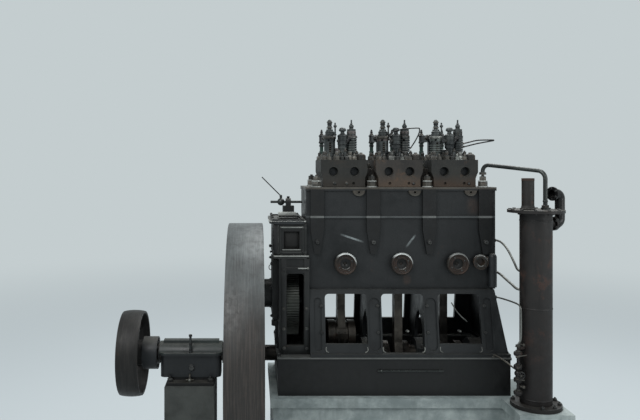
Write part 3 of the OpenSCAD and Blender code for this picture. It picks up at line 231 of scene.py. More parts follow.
def oily_iron(name, dark, light, rust=RUST, rust_share=0.12, gloss=(0.32, 0.62), dust=0.35, grain=1.0,
              streak=0.35, marks=()):
    """Old painted cast iron: blotches, oil streaks that run down, rust in places, dust on what faces up.
    Each mark is a mask made by a function of the look, a colour and a strength; some marks are stains and rust, others
    painted shade and painted highlights."""
    k = Look(name)
    dark, light = rgb(*dark), rgb(*light)
    broad = k.noise(2.6, 5, 0.6)
    patch = k.noise(13, 5, 0.62, distortion=0.4)
    fine = k.noise(90, 4, 0.6)
    runs = k.noise(9, 4, 0.6, k.scaled(4.5, 4.5, 0.35))
    colour = k.mix(k.step(broad, 0.35, 0.7), dark, light)
    colour = k.mix(k.times(k.step(patch, 0.42, 0.72), 0.55), colour, light)
    colour = k.mix(k.times(k.step(runs, 0.5, 0.75), streak), colour, darker(dark, 0.45))
    edge = 0.66 - 0.22 * rust_share
    spots = k.noise(5.2, 6, 0.68, distortion=0.6)
    rusty = k.times(k.step(spots, edge, edge + 0.12), k.step(fine, 0.3, 0.6))
    colour = k.mix(k.times(rusty, min(1.0, 0.35 + rust_share)), colour, rgb(*rust))
    facing_up = k.step(k.axis("Z", k.normal), 0.5, 0.95)
    dusty = k.times(facing_up, k.step(patch, 0.25, 0.7, 0.4, 1.0))
    colour = k.mix(k.times(dusty, dust), colour, rgb(*DUST))
    # each mark mixes in its tone: a stain, rust, painted shade or a painted highlight
    for mask, tone, share in marks:
        wear_and_painted_light = k.times(mask(k), k.step(patch, 0.2, 0.6, share * 0.55, share))
        colour = k.mix(wear_and_painted_light, colour, rgb(*tone))
    rough = k.step(k.math("ADD", k.times(broad, 0.5), k.times(patch, 0.5)), 0.35, 0.65, *gloss)
    rough = k.larger(rough, k.times(k.larger(rusty, dusty), 0.78))
    k.bump((k.noise(34, 4, 0.5), 0.22 * grain, 0.004), (k.noise(240, 3, 0.6), 0.3 * grain, 0.0012))
    return k.set(Base_Color=colour, Roughness=rough, Metallic=0.0, Specular_IOR_Level=0.36)


def bare_metal(name, dark, light, rust=RUST, rust_share=0.2, gloss=(0.4, 0.65), metallic=0.5, stretch=(1, 1, 1)):
    """Bare steel or brass with a dull skin, stains and a little rust."""
    k = Look(name)
    dark, light = rgb(*dark), rgb(*light)
    place = k.scaled(*stretch)
    broad = k.noise(5, 5, 0.6, place)
    patch = k.noise(26, 5, 0.6, place, 0.5)
    fine = k.noise(150, 3, 0.6, place)
    colour = k.mix(k.step(broad, 0.35, 0.68), dark, light)
    colour = k.mix(k.times(k.step(patch, 0.5, 0.75), 0.5), colour, darker(dark, 0.5))
    rusty = k.step(k.noise(11, 6, 0.7, distortion=0.5), 0.64 - 0.2 * rust_share, 0.74)
    colour = k.mix(k.times(rusty, min(1.0, 0.3 + rust_share)), colour, rgb(*rust))
    rough = k.larger(k.step(patch, 0.3, 0.7, *gloss), k.times(rusty, 0.8))
    k.bump((fine, 0.18, 0.0012), (patch, 0.12, 0.003))
    return k.set(Base_Color=colour, Roughness=rough, Metallic=metallic)


def flywheel_iron():
    """Turned rim with fine marks round the wheel, painted shade that darkens it towards the pit, and a little rust."""
    k = Look("flywheel_iron")
    lines = k.noise(9, 3, 0.6, k.scaled(16, 0.5, 0.5))
    broad = k.noise(2.2, 5, 0.6, k.scaled(1.6, 1, 1))
    patch = k.noise(24, 5, 0.6, distortion=0.4)
    colour = k.mix(k.step(broad, 0.35, 0.68), rgb(64, 67, 67), rgb(88, 92, 92))
    colour = k.mix(k.times(k.step(lines, 0.42, 0.7), 0.5), colour, rgb(104, 108, 108))
    colour = k.mix(k.times(k.step(patch, 0.52, 0.78), 0.3), colour, rgb(46, 42, 38))
    # painted shade: darker and browner towards the bottom, where the pit shades the wheel, and less metallic there
    low = k.step(k.math("ADD", k.axis("Z"), k.step(broad, 0.3, 0.7, -0.1, 0.1)), 1.3, 2.05, 1, 0)
    pit_shade_colour = k.mix(k.step(lines, 0.4, 0.7), rgb(32, 27, 23), rgb(56, 48, 43))
    colour = k.mix(k.times(low, 0.93), colour, pit_shade_colour)
    rusty = k.step(k.noise(7, 6, 0.7, distortion=0.5), 0.6, 0.74, 0, 0.4)
    colour = k.mix(rusty, colour, rgb(74, 58, 45))
    k.bump((lines, 0.12, 0.002), (k.noise(150, 3, 0.6), 0.15, 0.001))
    metal = k.math("SUBTRACT", 0.55, k.times(low, 0.4))
    return k.set(Base_Color=colour, Roughness=k.step(patch, 0.3, 0.7, 0.42, 0.6), Metallic=metal)


def flange_metal():
    """Dark bronze of the ports, with a painted highlight where it faces up and to the right, weaker on the third port.
    """
    k = Look("tarnished_brass")
    broad = k.noise(7, 5, 0.6)
    patch = k.noise(40, 5, 0.62, distortion=0.5)
    colour = k.mix(k.step(broad, 0.35, 0.68), rgb(32, 31, 29), rgb(52, 48, 43))
    colour = k.mix(k.times(k.step(patch, 0.45, 0.72), 0.5), colour, rgb(56, 42, 33))
    # painted highlight on what faces up and to the right
    lit_side = k.vector("DOT_PRODUCT", k.normal, (0.35, 0, 0.937))
    brightened = k.math("SUBTRACT", 1, k.times(k.band("X", 0.33, 0.51), 0.6))
    colour = k.mix(k.times(k.step(lit_side, 0.14, 0.5), brightened), colour, rgb(204, 208, 205))
    k.bump((patch, 0.25, 0.002), (k.noise(190, 3, 0.6), 0.2, 0.001))
    return k.set(Base_Color=colour, Roughness=k.step(patch, 0.3, 0.7, 0.38, 0.66), Metallic=0.45)


def stone(name, low, high, grain=1.0):
    """Dressed stone or concrete with pits and stains."""
    k = Look(name)
    low, high = rgb(*low), rgb(*high)
    broad = k.noise(1.6, 5, 0.6)
    patch = k.noise(9, 6, 0.65, distortion=0.3)
    speck = k.noise(170, 3, 0.7)
    blend = k.math("ADD", k.times(broad, 0.55), k.times(patch, 0.45))
    colour = k.mix(k.step(blend, 0.35, 0.65), low, high)
    colour = k.mix(k.times(k.step(speck, 0.55, 0.75), 0.35), colour, darker(low, 0.5))
    damp = k.times(k.step(k.noise(3.4, 5, 0.6, k.scaled(2.2, 2.2, 0.5)), 0.52, 0.72), 0.4)
    colour = k.mix(damp, colour, darker(low, 0.62))
    k.bump((k.voronoi(60), 0.12 * grain, 0.003), (patch, 0.25 * grain, 0.005), (speck, 0.35 * grain, 0.0016))
    return k.set(Base_Color=colour, Roughness=k.step(patch, 0.3, 0.7, 0.7, 0.92), Specular_IOR_Level=0.35)


def level(low, high, soft=0.002):
    """Mask of a level band between two heights."""
    return lambda k: k.band("Z", (FLOOR + low) / 1000, (FLOOR + high) / 1000, soft)


def smear(a, b, width=0.010):
    """Mask of a smear on the block's front between two places (x, h)."""
    ends = [(x / 1000, BLOCK_FRONT / 1000, (FLOOR + h) / 1000) for x, h in (a, b)]
    centre = tuple((u + v) / 2 for u, v in zip(*ends))
    reach = math.dist(*ends) * 0.62

    def mask(k):
        fade = k.step(k.vector("DISTANCE", k.coord, centre), reach * 0.25, reach, 1, 0)
        return k.times(k.streak(*ends, width), k.times(fade, k.step(k.noise(60, 3, 0.6), 0.3, 0.6, 0.5, 1)))
    return mask


def casings(low, high):
    """Mask of the tie-bolt casings on the block's front, between two heights."""
    def mask(k):
        near = 0.0
        for main in MAINS:
            near = k.larger(k.band("X", main / 1000 - 0.052, main / 1000 + 0.052), near)
        proud = k.step(k.axis("Y"), -0.2555, -0.2535, 1, 0)
        return k.times(k.times(near, proud), level(low, high)(k))
    return mask


def rust_low(k):
    """Mask of the rust that thickens towards a head's foot."""
    return k.step(k.axis("Z"), FLOOR / 1000 + 1.525, FLOOR / 1000 + 1.635, 1, 0)


def receiver_low(k):
    """Mask that darkens the receiver towards its foot."""
    return k.step(k.axis("Z"), 1.0, 1.9, 1, 0)


def outlet_cover(k):
    """Mask of the water outlet's left part, rusty behind its flange."""
    return k.band("X", 0.52, 0.645)


def window_rim_shade(k):
    """Mask of the painted shade round the upper case's window."""
    return k.times(k.band("X", -0.893, -0.753), level(1055, 1206)(k))


DRIP, PALE_STREAK = (66, 52, 44), (128, 136, 136)
BLOCK_MARKS = [
    # painted shade: the tie-bolt casings darkened
    (casings(1000, 1508), (9, 9, 9), 0.85),
    (smear((44, 878), (50, 786), 0.045), DRIP, 0.6),
    (smear((536, 1450), (545, 1310), 0.060), DRIP, 0.5),
    # painted highlight along the top flange
    (level(1510, 1524, 0.004), (80, 76, 69), 0.85),
    # painted highlight along the middle rib
    (level(1294, 1307, 0.003), (84, 88, 88), 0.75),
    # painted highlights where the middle rib crosses the casings
    (casings(1294, 1309), (140, 142, 138), 0.35),
    # two pale streaks on the block's front
    (smear((-450, 1168), (-283, 1112)), PALE_STREAK, 1.0),
    (smear((43, 1075), (110, 1163)), PALE_STREAK, 1.0),
]
GEAR_MARKS = [
    # painted shade round the window
    (window_rim_shade, (11, 11, 11), 0.9),
    # painted highlights along two level edges of the case
    (level(1029, 1044, 0.003), (60, 62, 60), 0.6),
    (level(1213, 1229, 0.003), (56, 58, 56), 0.5),
]


def head_iron(name, dark, light, rust, rust_share, foot, foot_share):
    marks = [(rust_low, foot, foot_share)]
    return oily_iron(name, dark, light, rust, rust_share, (0.5, 0.8), 0.5, marks=marks)


MATS = {
    "iron": oily_iron("old_iron", (17, 19, 21), (35, 38, 40)),
    "block": oily_iron("block_iron", (17, 19, 20), (31, 33, 34), marks=BLOCK_MARKS),
    "frame": oily_iron("frame_iron", (16, 18, 19), (32, 35, 36), RUST, 0.12, (0.36, 0.66), 0.2),
    # the pale band along the bedplate's rim is a painted highlight
    "bed": oily_iron("bedplate_iron", (10, 11, 11), (20, 21, 21), RUST, 0.12, (0.4, 0.7), 0.25,
                     marks=[(level(270, 281), (96, 98, 95), 0.85)]),
    "outlet": oily_iron("outlet_iron", (17, 19, 21), (35, 38, 40), RUST, 0.2,
                        marks=[(outlet_cover, (62, 50, 41), 0.85)]),
    "head_a": head_iron("head_iron_olive", (17, 18, 17), (43, 43, 40), (60, 50, 40), 0.3, (52, 45, 38), 0.5),
    "head_b": head_iron("head_iron_rusty", (27, 26, 25), (62, 58, 53), (84, 64, 48), 0.5, (84, 70, 58), 0.8),
    "head_c": head_iron("head_iron_grey", (22, 23, 22), (52, 52, 48), (74, 57, 43), 0.45, (74, 56, 42), 0.6),
    "receiver": oily_iron("receiver_iron", (23, 21, 20), (37, 34, 32), (62, 43, 35), 0.6, (0.42, 0.7), 0.4,
                          1.2, 0.6, marks=[(receiver_low, (17, 13, 12), 0.75)]),
    "bridge": oily_iron("bridge_iron", (34, 30, 27), (58, 52, 46), (74, 56, 44), 0.4, (0.5, 0.8), 0.3),
    "gear": oily_iron("gear_case_iron", (15, 16, 16), (29, 31, 30), RUST, 0.15, marks=GEAR_MARKS),
    # the pale band at the lugs' foot is a painted highlight
    "lug": oily_iron("lug_iron", (44, 42, 37), (68, 63, 56), (70, 52, 40), 0.2, (0.4, 0.7), 0.4,
                     marks=[(level(1450, 1472, 0.008), (84, 84, 78), 0.4)]),
    "dark": oily_iron("dark_iron", (12, 12, 13), (26, 27, 28)),
    "lid": oily_iron("bearing_lid_iron", (28, 32, 31), (50, 57, 55), RUST, 0.12, (0.3, 0.5), 0.2),
    "glossy": oily_iron("oiled_iron", (13, 13, 13), (27, 27, 27), RUST, 0.2, (0.18, 0.4)),
    "green": oily_iron("green_painted_iron", (30, 48, 42), (50, 72, 65), RUST, 0.15, dust=0.2),
    "pit": oily_iron("dark_inside", (9, 9, 8), (18, 17, 15), RUST, 0.0),
    # the paler looks for edges and small parts below are wear and painted highlight
    "edge": bare_metal("paint_edge_wear_and_highlight", (38, 40, 39), (60, 62, 60), RUST, 0.2, (0.4, 0.6), 0.3),
    "polish_and_painted_highlight": bare_metal("rubbed_steel_and_highlight", (132, 134, 130), (176, 178, 173), (96, 80, 66), 0.1, (0.32, 0.5), 0.35),
    "head_edge": bare_metal("head_edge_wear_and_highlight", (74, 71, 65), (112, 108, 99), (78, 60, 47), 0.3, (0.4, 0.6), 0.4),
    "nut": bare_metal("nut_steel", (46, 45, 42), (92, 89, 82), (68, 50, 38), 0.4, (0.35, 0.6)),
    "dull": bare_metal("dull_nut", (24, 25, 25), (44, 44, 42), (52, 40, 32), 0.3, (0.45, 0.7), 0.4),
    "bright": bare_metal("nut_wear_and_highlight", (80, 81, 78), (126, 128, 123), (84, 66, 52), 0.2, (0.3, 0.5), 0.55),
    "rusty": bare_metal("rusty_bore", (34, 27, 23), (62, 45, 36), (74, 45, 32), 0.5, (0.6, 0.85), 0.15),
    "valve": bare_metal("valve_steel", (36, 40, 41), (72, 76, 75), (66, 50, 41), 0.3, (0.38, 0.62)),
    "cage_b": bare_metal("cage_brown", (60, 56, 55), (102, 96, 94), (84, 62, 54), 0.3, metallic=0.4),
    "cage_c": bare_metal("cage_green", (60, 66, 64), (102, 109, 105), (70, 58, 48), metallic=0.4),
    "gear_steel": bare_metal("gear_steel", (46, 48, 45), (74, 76, 71), (50, 44, 34), 0.2, (0.35, 0.55), 0.6),
    "steel": bare_metal("machined_steel", (44, 41, 38), (78, 73, 67), (64, 47, 36), 0.45, (0.32, 0.52), 0.75),
    "pulley": bare_metal("pulley_iron", (25, 24, 23), (39, 37, 35), (54, 40, 32), 0.3, (0.42, 0.65), 0.45,
                         (14, 1, 1)),
    "pipe": bare_metal("pipe_steel", (38, 41, 40), (62, 66, 64), (58, 45, 36), 0.2, (0.22, 0.42)),
    "wear_and_painted_light": bare_metal("edge_wear_and_highlight", (52, 53, 53), (88, 89, 87), (64, 50, 41), 0.3, (0.34, 0.55), 0.6),
    "wheel": flywheel_iron(),
    "brass": flange_metal(),
    "stone": stone("pale_stone", (112, 122, 121), (164, 173, 170)),
    # pale stone edge: wear and painted highlight
    "stone_edge": stone("stone_edge_wear_and_highlight", (150, 160, 157), (196, 205, 202)),
    # dark concrete; its dark tone is partly painted shade
    "pier": stone("pier_concrete", (45, 47, 45), (73, 76, 73), grain=1.4),
}

# looks of the CAD nodes
NODE_LOOK = {
    "stone": "foundation",
    "pier": "bearing_pier",
    "bed": "bedplate bearing_pedestal",
    "block": "cylinder_block",
    "frame": "crank_frame main_bearing_caps",
    "lug": "lifting_lugs",
    "iron": "camshaft_housing rocker_arms shaft_hub bearing_housing gear_case_cover",
    "lid": "bearing_lid",
    "gear": "gear_case_lower gear_case_upper control_bracket",
    "head_a": "cylinder_head_1",
    "head_b": "cylinder_head_2",
    "head_c": "cylinder_head_3",
    "nut": "tie_bolt_nuts",
    "valve": "valve_gear_1 valve_gear_2 valve_gear_3 lubricator",
    "gear_steel": "timing_gear",
    "steel": "crankshaft connecting_rod_1 connecting_rod_2 connecting_rod_3",
    "wheel": "flywheel",
    "pulley": "belt_pulley",
    "brass": "port_flanges",
    "outlet": "water_outlet",
    "pipe": "drain_rod gooseneck_pipe side_pipes control_shaft control_lever",
    "green": "push_rods",
    "receiver": "receiver_body receiver_top receiver_valves",
    "glossy": "return_bend",
    "dark": "fuel_pipes",
}
for look, names in NODE_LOOK.items():
    for node_name in names.split():
        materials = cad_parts[node_name].data.materials
        for i in range(len(materials)):
            materials[i] = MATS[look]
        if not materials:
            materials.append(MATS[look])


def soften(node_name, width, wear_and_painted_light):
    """Rounds the real edges of a CAD node; the rounded strip may get a paler look: worn metal and a painted highlight
    along the edge.
    """
    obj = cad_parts[node_name]
    flat = obj.modifiers.new("join_flat_faces", "DECIMATE")
    flat.decimate_type = "DISSOLVE"
    flat.angle_limit = math.radians(0.6)
    bevel = obj.modifiers.new("round_edges", "BEVEL")
    bevel.width = width
    bevel.segments = 2
    bevel.limit_method = "ANGLE"
    bevel.angle_limit = math.radians(32)
    bevel.use_clamp_overlap = False
    bevel.miter_outer = "MITER_ARC"
    if wear_and_painted_light:
        obj.data.materials.append(MATS[wear_and_painted_light])
        bevel.material = len(obj.data.materials) - 1


# rounded edges of the CAD nodes: width in metres and look of the strip; the paler strips are wear and painted
# highlight along the edges
SOFT = {
    "foundation": (0.012, "stone_edge"), "bearing_pier": (0.01, None), "bedplate": (0.004, "wear_and_painted_light"),
    "cylinder_block": (0.003, "wear_and_painted_light"), "crank_frame": (0.003, "edge"), "gear_case_lower": (0.003, "edge"),
    "gear_case_upper": (0.003, "wear_and_painted_light"), "gear_case_cover": (0.004, "bright"),
    "cylinder_head_1": (0.005, "head_edge"), "cylinder_head_2": (0.005, "head_edge"),
    "cylinder_head_3": (0.005, "head_edge"), "receiver_top": (0.002, "wear_and_painted_light"),
    "bearing_pedestal": (0.003, "edge"), "camshaft_housing": (0.003, "edge"), "bearing_lid": (0.002, "edge"),
    "return_bend": (0.002, "bright"),
}
for node_name, (width, wear_and_painted_light) in SOFT.items():
    soften(node_name, width, wear_and_painted_light)


# mesh tools; pieces are drawn in millimetres and turned into metres when they are done
METRES = Matrix.Translation((0, 0, FLOOR / 1000)) @ Matrix.Scale(0.001, 4)
rng = random.Random(11)


def aimed(place, axis):
    """Matrix that moves a shape to a place and turns its +Z onto the axis."""
    turn = Vector(axis).normalized().to_track_quat("Z", "Y").to_matrix().to_4x4()
    return Matrix.Translation(Vector(place)) @ turn


def ring_of(count, radius=1.0, start=0.0):
    """Points (u, v) evenly round a circle."""
    turns = [start + 2 * math.pi * k / count for k in range(count)]
    return [(radius * math.cos(t), radius * math.sin(t)) for t in turns]


def smooth_path(points, steps):
    """Catmull-Rom curve through the points."""
    row = [Vector(p) for p in (points[0], *points, points[-1])]
    path = []
    for a, b, c, d in zip(row, row[1:], row[2:], row[3:]):
        for k in range(steps):
            t = k / steps
            path.append(0.5 * ((2 * b) + (c - a) * t + (2 * a - 5 * b + 4 * c - d) * t * t
                               + (3 * b - a - 3 * c + d) * t ** 3))
    return path + [row[-1]]


class Piece:
    """Small shapes gathered in one object that rides on one body; each shape has its own look."""

    def __init__(self, name, body="engine", slot="cast_iron"):
        self.name, self.body, self.record_slot, self.looks = name, body, slot, []
        self.bm = bmesh.new()

    def look(self, name):
        if name not in self.looks:
            self.looks.append(name)
        return self.looks.index(name)

    def skin(self, rings, look, loop=False, tip=None, cap=True):
        """Skin over a row of rings of points; tip is the look of the last step and of the end."""
        slot = self.look(look)
        end = self.look(tip) if tip else slot
        made = [[self.bm.verts.new(p) for p in ring] for ring in rings]
        if loop:
            made.append(made[0])
        count = len(made[0])
        for step, (a, b) in enumerate(zip(made, made[1:])):
            for i in range(count):
                j = (i + 1) % count
                face = self.bm.faces.new((a[i], a[j], b[j], b[i]))
                face.material_index = end if step == len(made) - 2 else slot
        if cap and not loop:
            self.bm.faces.new(made[0][::-1]).material_index = slot
            self.bm.faces.new(made[-1]).material_index = end

    def turned(self, place, profile, look, axis=UP, sides=32, loop=False, tip=None, cap=True):
        """Turned piece from a row of (radius, height along the axis)."""
        move = aimed(place, axis)
        rings = [[move @ Vector((r * u, r * v, h)) for u, v in ring_of(sides)] for r, h in profile]
        self.skin(rings, look, loop, tip, cap)

    def disc(self, place, radius, height, look, axis=UP, edge=2.0, sides=32):
        self.turned(place, [(radius, 0), (radius, height - edge), (radius - edge, height)], look, axis, sides)

    def nut(self, place, across, height, look="nut", axis=UP, stud=0.0, washer=True):
        """Hexagon nut with its washer, chamfer and, where given, the end of its stud."""
        move = aimed(place, axis) @ Matrix.Rotation(rng.uniform(0, 1.05), 4, "Z")
        r = across / math.sqrt(3)
        base = 0.0
        if washer:
            base = height * 0.14
            self.disc(place, across * 0.66, base, look, axis, 0.6, 20)
        rings = [(r, base), (r, height * 0.84), (r * 0.86, height)]
        self.skin([[move @ Vector((q * u, q * v, h)) for u, v in ring_of(6)] for q, h in rings], look, tip="wear_and_painted_light")
        if stud:
            s = across * 0.27
            end = height + stud
            self.turned(place, [(s, height - 1), (s, end - s * 0.4), (s * 0.6, end)], look, axis, 14)

    def nuts(self, places, *size, **options):
        for place in places:
            self.nut(place, *size, **options)

    def tube(self, points, radius, look, sides=12, loop=False):
        """Round pipe along a row of points; the radius is one number or a row of them."""
        points = [Vector(p) for p in points]
        count = len(points)
        radii = radius if isinstance(radius, (list, tuple)) else [radius] * count
        rings, normal = [], None
        for i, p in enumerate(points):
            along = (points[min(i + 1, count - 1)] - points[max(i - 1, 0)]).normalized()
            if normal is None:
                normal = along.orthogonal().normalized()
            normal = (normal - along * normal.dot(along)).normalized()
            other = along.cross(normal)
            rings.append([p + (normal * u + other * v) * radii[i] for u, v in ring_of(sides)])
        self.skin(rings, look, loop)

    def pipe(self, points, radius, look, sides=12, steps=5):
        """Round pipe on a smooth curve through a few points."""
        self.tube(smooth_path(points, steps), radius, look, sides)

    def spring(self, place, radius, wire, turns, length, look):
        move = aimed(place, UP)
        count = int(turns * 18)
        path = []
        for k in range(count + 1):
            t = k / count
            angle = 2 * math.pi * turns * t
            rise = wire + length * min(1.0, max(0.0, (t - 0.06) / 0.88))
            path.append(move @ Vector((radius * math.cos(angle), radius * math.sin(angle), rise)))
        self.tube(path, wire, look, 8)

    def block(self, low, high, look, edge=2.0):
        """Box between two corners with its edges rounded."""
        a, b = Vector(low), Vector(high)
        size = Matrix.Diagonal((*(b - a), 1))
        made = bmesh.ops.create_cube(self.bm, size=1, matrix=Matrix.Translation((a + b) / 2) @ size)
        self.round(made["verts"], edge, look)

    def round(self, verts, edge, look):
        slot = self.look(look)
        edges = {e for v in verts for e in v.link_edges}
        for face in {f for v in verts for f in v.link_faces}:
            face.material_index = slot
        bmesh.ops.bevel(self.bm, geom=list(edges), offset=edge, segments=2, affect="EDGES", profile=0.5, material=slot)

    def done(self, *replaced, smooth=38):
        self.bm.transform(METRES)
        bmesh.ops.recalc_face_normals(self.bm, faces=self.bm.faces)
        mesh = bpy.data.meshes.new(self.name)
        self.bm.to_mesh(mesh)
        self.bm.free()
        for name in self.looks:
            mesh.materials.append(MATS[name])
        mesh.shade_smooth()
        mesh.set_sharp_from_angle(angle=math.radians(smooth))
        obj = bpy.data.objects.new(self.name, mesh)
        bpy.context.collection.objects.link(obj)
        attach(obj, self.body)
        if replaced:
            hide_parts(*replaced)


# heads and valve gear
def head_details(i, c):
    p = Piece(f"head_bolts_{i + 1}", slot="head_iron")
    look = ("head_a", "head_b", "head_c")[i]
    # studs and nuts along the front and the back of the head, one of them rubbed bright
    brightened = (None, -0.35, 0.35)[i]
    for sx in (-1, -0.35, 0.35, 1):
        for sy in (-1, 1):
            if sx == 1 and sy == -1:
                continue
            place = (c + sx * 147, sy * 173, HEAD_TOP)
            tone = "bright" if sy < 0 and sx == brightened else "nut"
            p.nut(place, 46, 34, tone)
            p.turned(place, [(14, 40), (14, 58), (9, 64)], tone, sides=14, tip="wear_and_painted_light")
    for x, y, tone in ((-112, -186, "nut"), (-12, -184, "dull"), (24, -188, "bright" if i else "dull"),
                       (82, -184, "nut"), (-146, -60, "nut"), (-146, 60, "nut"), (148, 60, "nut")):
        p.nut((c + x, y, HEAD_TOP), 34, 26, tone, stud=20)
    # low fittings: place, radius, height and nut
    for x, y, r, h, top in ((-22, -84, 17, 58, 26), (52, -92, 15, 44, 24), (24, -112, 12, 66, 20),
                            (-40, -120, 13, 34, 22), (118, -70, 15, 52, 24), (-128, -96, 13, 46, 22)):
        profile = [(r * 1.25, 0), (r * 1.25, 8), (r, 12), (r, h - 12), (r * 0.8, h - 6), (r * 0.8, h)]
        p.turned((c + x, y, HEAD_TOP), profile, "valve", sides=20)
        p.nut((c + x, y, HEAD_TOP + h), top, 13, stud=9)
    if i:
        # bridge to the head before it, over the row of tie bolts
        bridge_top = BLOCK_TOP + 140
        p.block((c - 263, -96, BLOCK_TOP + 2), (c - 157, 150, bridge_top), "bridge", 5)
        p.nuts([(c - 210, y, bridge_top) for y in (-70, 0, 70)], 34, 24, stud=16)
    # low pads between the studs
    p.block((c - 64, -150, HEAD_TOP), (c - 8, -96, HEAD_TOP + 30), look, 5)
    p.block((c + 30, -158, HEAD_TOP), (c + 88, -104, HEAD_TOP + 24), look, 5)
    # domed cover at the right front corner, its rim and its nut
    dome = [(37.5, 0), (38, 3), (38, 7), (36, 9), (36, 26), (33, 36), (27, 43), (15, 49), (8, 50)]
    p.turned((c + 138, -143, HEAD_TOP), dome, look)
    p.nut((c + 138, -143, HEAD_TOP + 48), 22, 9, washer=False)
    # thin rims of the ports and what shows inside them
    port_h = BLOCK_TOP + 118
    for s in (-1, 1):
        rim = [(34.1, -8), (34.1, 0.5), (35, 1.6), (38, 1.6), (39, 0.4), (39, -8)]
        p.turned((c + s * 80, HEAD_FRONT, port_h), rim, look, FRONT, 40, loop=True)
        p.turned((c + s * 80, HEAD_FRONT + 46, port_h), [(33.5, 0), (33.5, 3), (26, 5), (9, 5)], "iron", FRONT, 24)
    # plugs in the foot
    plug_h = BLOCK_TOP + 28
    for u in ((-72, 20), (105,), (105,))[i]:
        tone = "rusty" if i else "nut"
        p.turned((c + u, HEAD_FRONT + 6, plug_h), [(14, 0), (14, 8), (11, 10)], tone, FRONT, 20)
        p.nut((c + u, HEAD_FRONT - 3, plug_h), 16, 7, tone, FRONT, washer=False)
    # dark joint over the block and the foot bead over it
    p.block((c - 158, -206, BLOCK_TOP), (c + 158, 206, BLOCK_TOP + 6), "pit", 1.0)
    p.block((c - 160.5, -211, BLOCK_TOP + 6.5), (c + 160.5, 211, BLOCK_TOP + 15), look, 2.5)
    p.done()


def exhaust_cage(p, i, x):
    """Square flange, studs, spring, rims, the stack on top and the thin side spindle."""
    z = HEAD_TOP
    cage = ("valve", "cage_b", "cage_c")[i]
    p.block((x - 58, -58, z), (x + 58, 58, z + 20), "valve", 4)
    p.nuts([(x + u * 0.98, v * 0.98, z + 20) for u, v in ring_of(4, 66, math.pi / 4)], 32, 24, stud=18)
    p.turned((x, 0, z), [(26, 20), (26, 172)], "dark", sides=24)
    p.spring((x, 0, z + 56), 33, 5.2, 7, 96, "nut")
    p.turned((x, 0, z), [(45, 150), (46, 153), (46, 164), (48.5, 167)], cage, sides=40)
    rim = [(48.5, 168), (51, 170), (51, 184), (47, 189), (30, 190)]
    p.turned((x, 0, z), rim, "bright" if i == 2 else "nut", sides=40)
    p.turned((x, 0, z), [(48, 26), (48, 40), (45, 46)], "valve", sides=40)
    if i == 2:
        # louvred sleeve round the last cage
        p.turned((x, 0, z), [(45, 46), (46, 48), (46, 54), (44.2, 55)], cage, sides=40)
        for k in range(4):
            p.turned((x, 0, z + 61 + k * 17), [(44.2, 0), (46.5, 1.5), (46.5, 7), (44.2, 8.5)], cage, sides=40)
    p.nut((x, 0, z + 188), 62, 24, "valve", washer=False)
    cap = [(33, 0), (35, 3), (35, 12), (29, 18), (20, 24), (15, 34), (15, 40)]
    p.turned((x, 0, z + 212), cap, "valve", sides=28)
    p.nut((x, 0, z + 276), 34, 13, "dark", washer=False)
    for h, r in ((254, 25), (298, 23)):
        p.turned((x, 0, z + h), [(r - 4, -3), (r, -1), (r, 3), (r - 4, 5)], "nut", sides=24)
    p.turned((x, 0, z + 318), [(12, -8), (12, -2), (7, 2)], "valve", sides=20)
    p.nut((x + 44, 0, z + 196), 20, 10, "valve", washer=False)
    knob = [(5, -6), (12, 0), (14, 6), (12, 14), (6, 18), (5, 34), (2, 36)]
    p.turned((x + 44, 0, z + 262), knob, "valve", sides=20)


def injector(p, i, c):
    """Oval flange, union nut, ribbed barrel, mushroom cap, and the casting and link beside it."""
    x, y, z = c + 12, -30, HEAD_TOP
    p.turned((x, y, z), [(46, 0), (46, 14), (43, 17)], "valve", sides=36)
    p.nuts([(x + s * 34, y - 14, z + 16) for s in (-1, 1)], 26, 18, stud=16)
    p.nut((x, y, z + 100), 64, 20, "valve", washer=False)
    for h in (126, 158, 188):
        p.turned((x, y, z + h), [(38, -4), (40.5, -2), (40.5, 3), (38, 5)], "valve")
    cap = [(36, 0), (30, 6), (20, 10), (16, 16), (15, 24), (18, 30), (28, 34), (29, 40), (25, 50), (15, 58), (2, 60)]
    p.turned((x, y, z + 196), cap, "valve")
    p.nut((x - 30, y - 16, z + 150), 22, 16, "nut", (-0.75, -0.65, 0), washer=False)
    p.block((c - 58, -4, z), (c + 52, 34, z + (96, 70, 84)[i]), "valve" if i else "cage_b", 8)
    if i != 1:
        link = ((8, -40, 118), (30, -38, 128), (62, -34, 168), (84, -30, 182))
        p.tube([(c + u, v, z + h) for u, v, h in link], [10, 17, 17, 12], "dark", 16)


def spring_unit(p, i, x):
    """Flange, stacked discs, spring cap with a ring of short rods, and spindle."""
    z = HEAD_TOP
    wide, fins, cap = ((43, "cage_c", "cage_b"), (39, "bright", "cage_b"), (40, "valve", "valve"))[i]
    p.turned((x, 0, z), [(54, 0), (54, 14), (51, 18)], "valve", sides=36)
    p.nuts([(x + u, v, z + 18) for u, v in ring_of(4, 44, math.pi / 4)], 26, 18, stud=14)
    for k in range(7):
        p.turned((x, 0, z + 66 + k * 19), [(30, -3), (wide, -2), (wide, 5), (30, 6)], fins, sides=28)
    if i == 0:
        # pale collar over the first head's discs
        collar = [(wide, 0), (wide + 4, 1.5), (wide + 4, 9), (wide, 10.5)]
        p.turned((x, 0, z + 175), collar, "bright", sides=36)
    top = [(wide + 2, 0), (wide + 2, 6), (33, 8), (33, 20), (36, 22), (36, 40), (31, 46), (20, 48), (14, 56),
           (10, 60)]
    p.turned((x, 0, z + 186), top, cap, sides=28)
    for u, v in ring_of(6, 35, 0.3):
        p.turned((x + u, v, z + 196), [(4, 0), (4, 26), (2, 28)], "nut", sides=10)
    p.nut((x, 0, z + 240), 32, 14, "valve", washer=False)
    p.turned((x, 0, z + 284), [(12, 0), (10, 4), (6, 8), (6, 30)], "valve", sides=16)


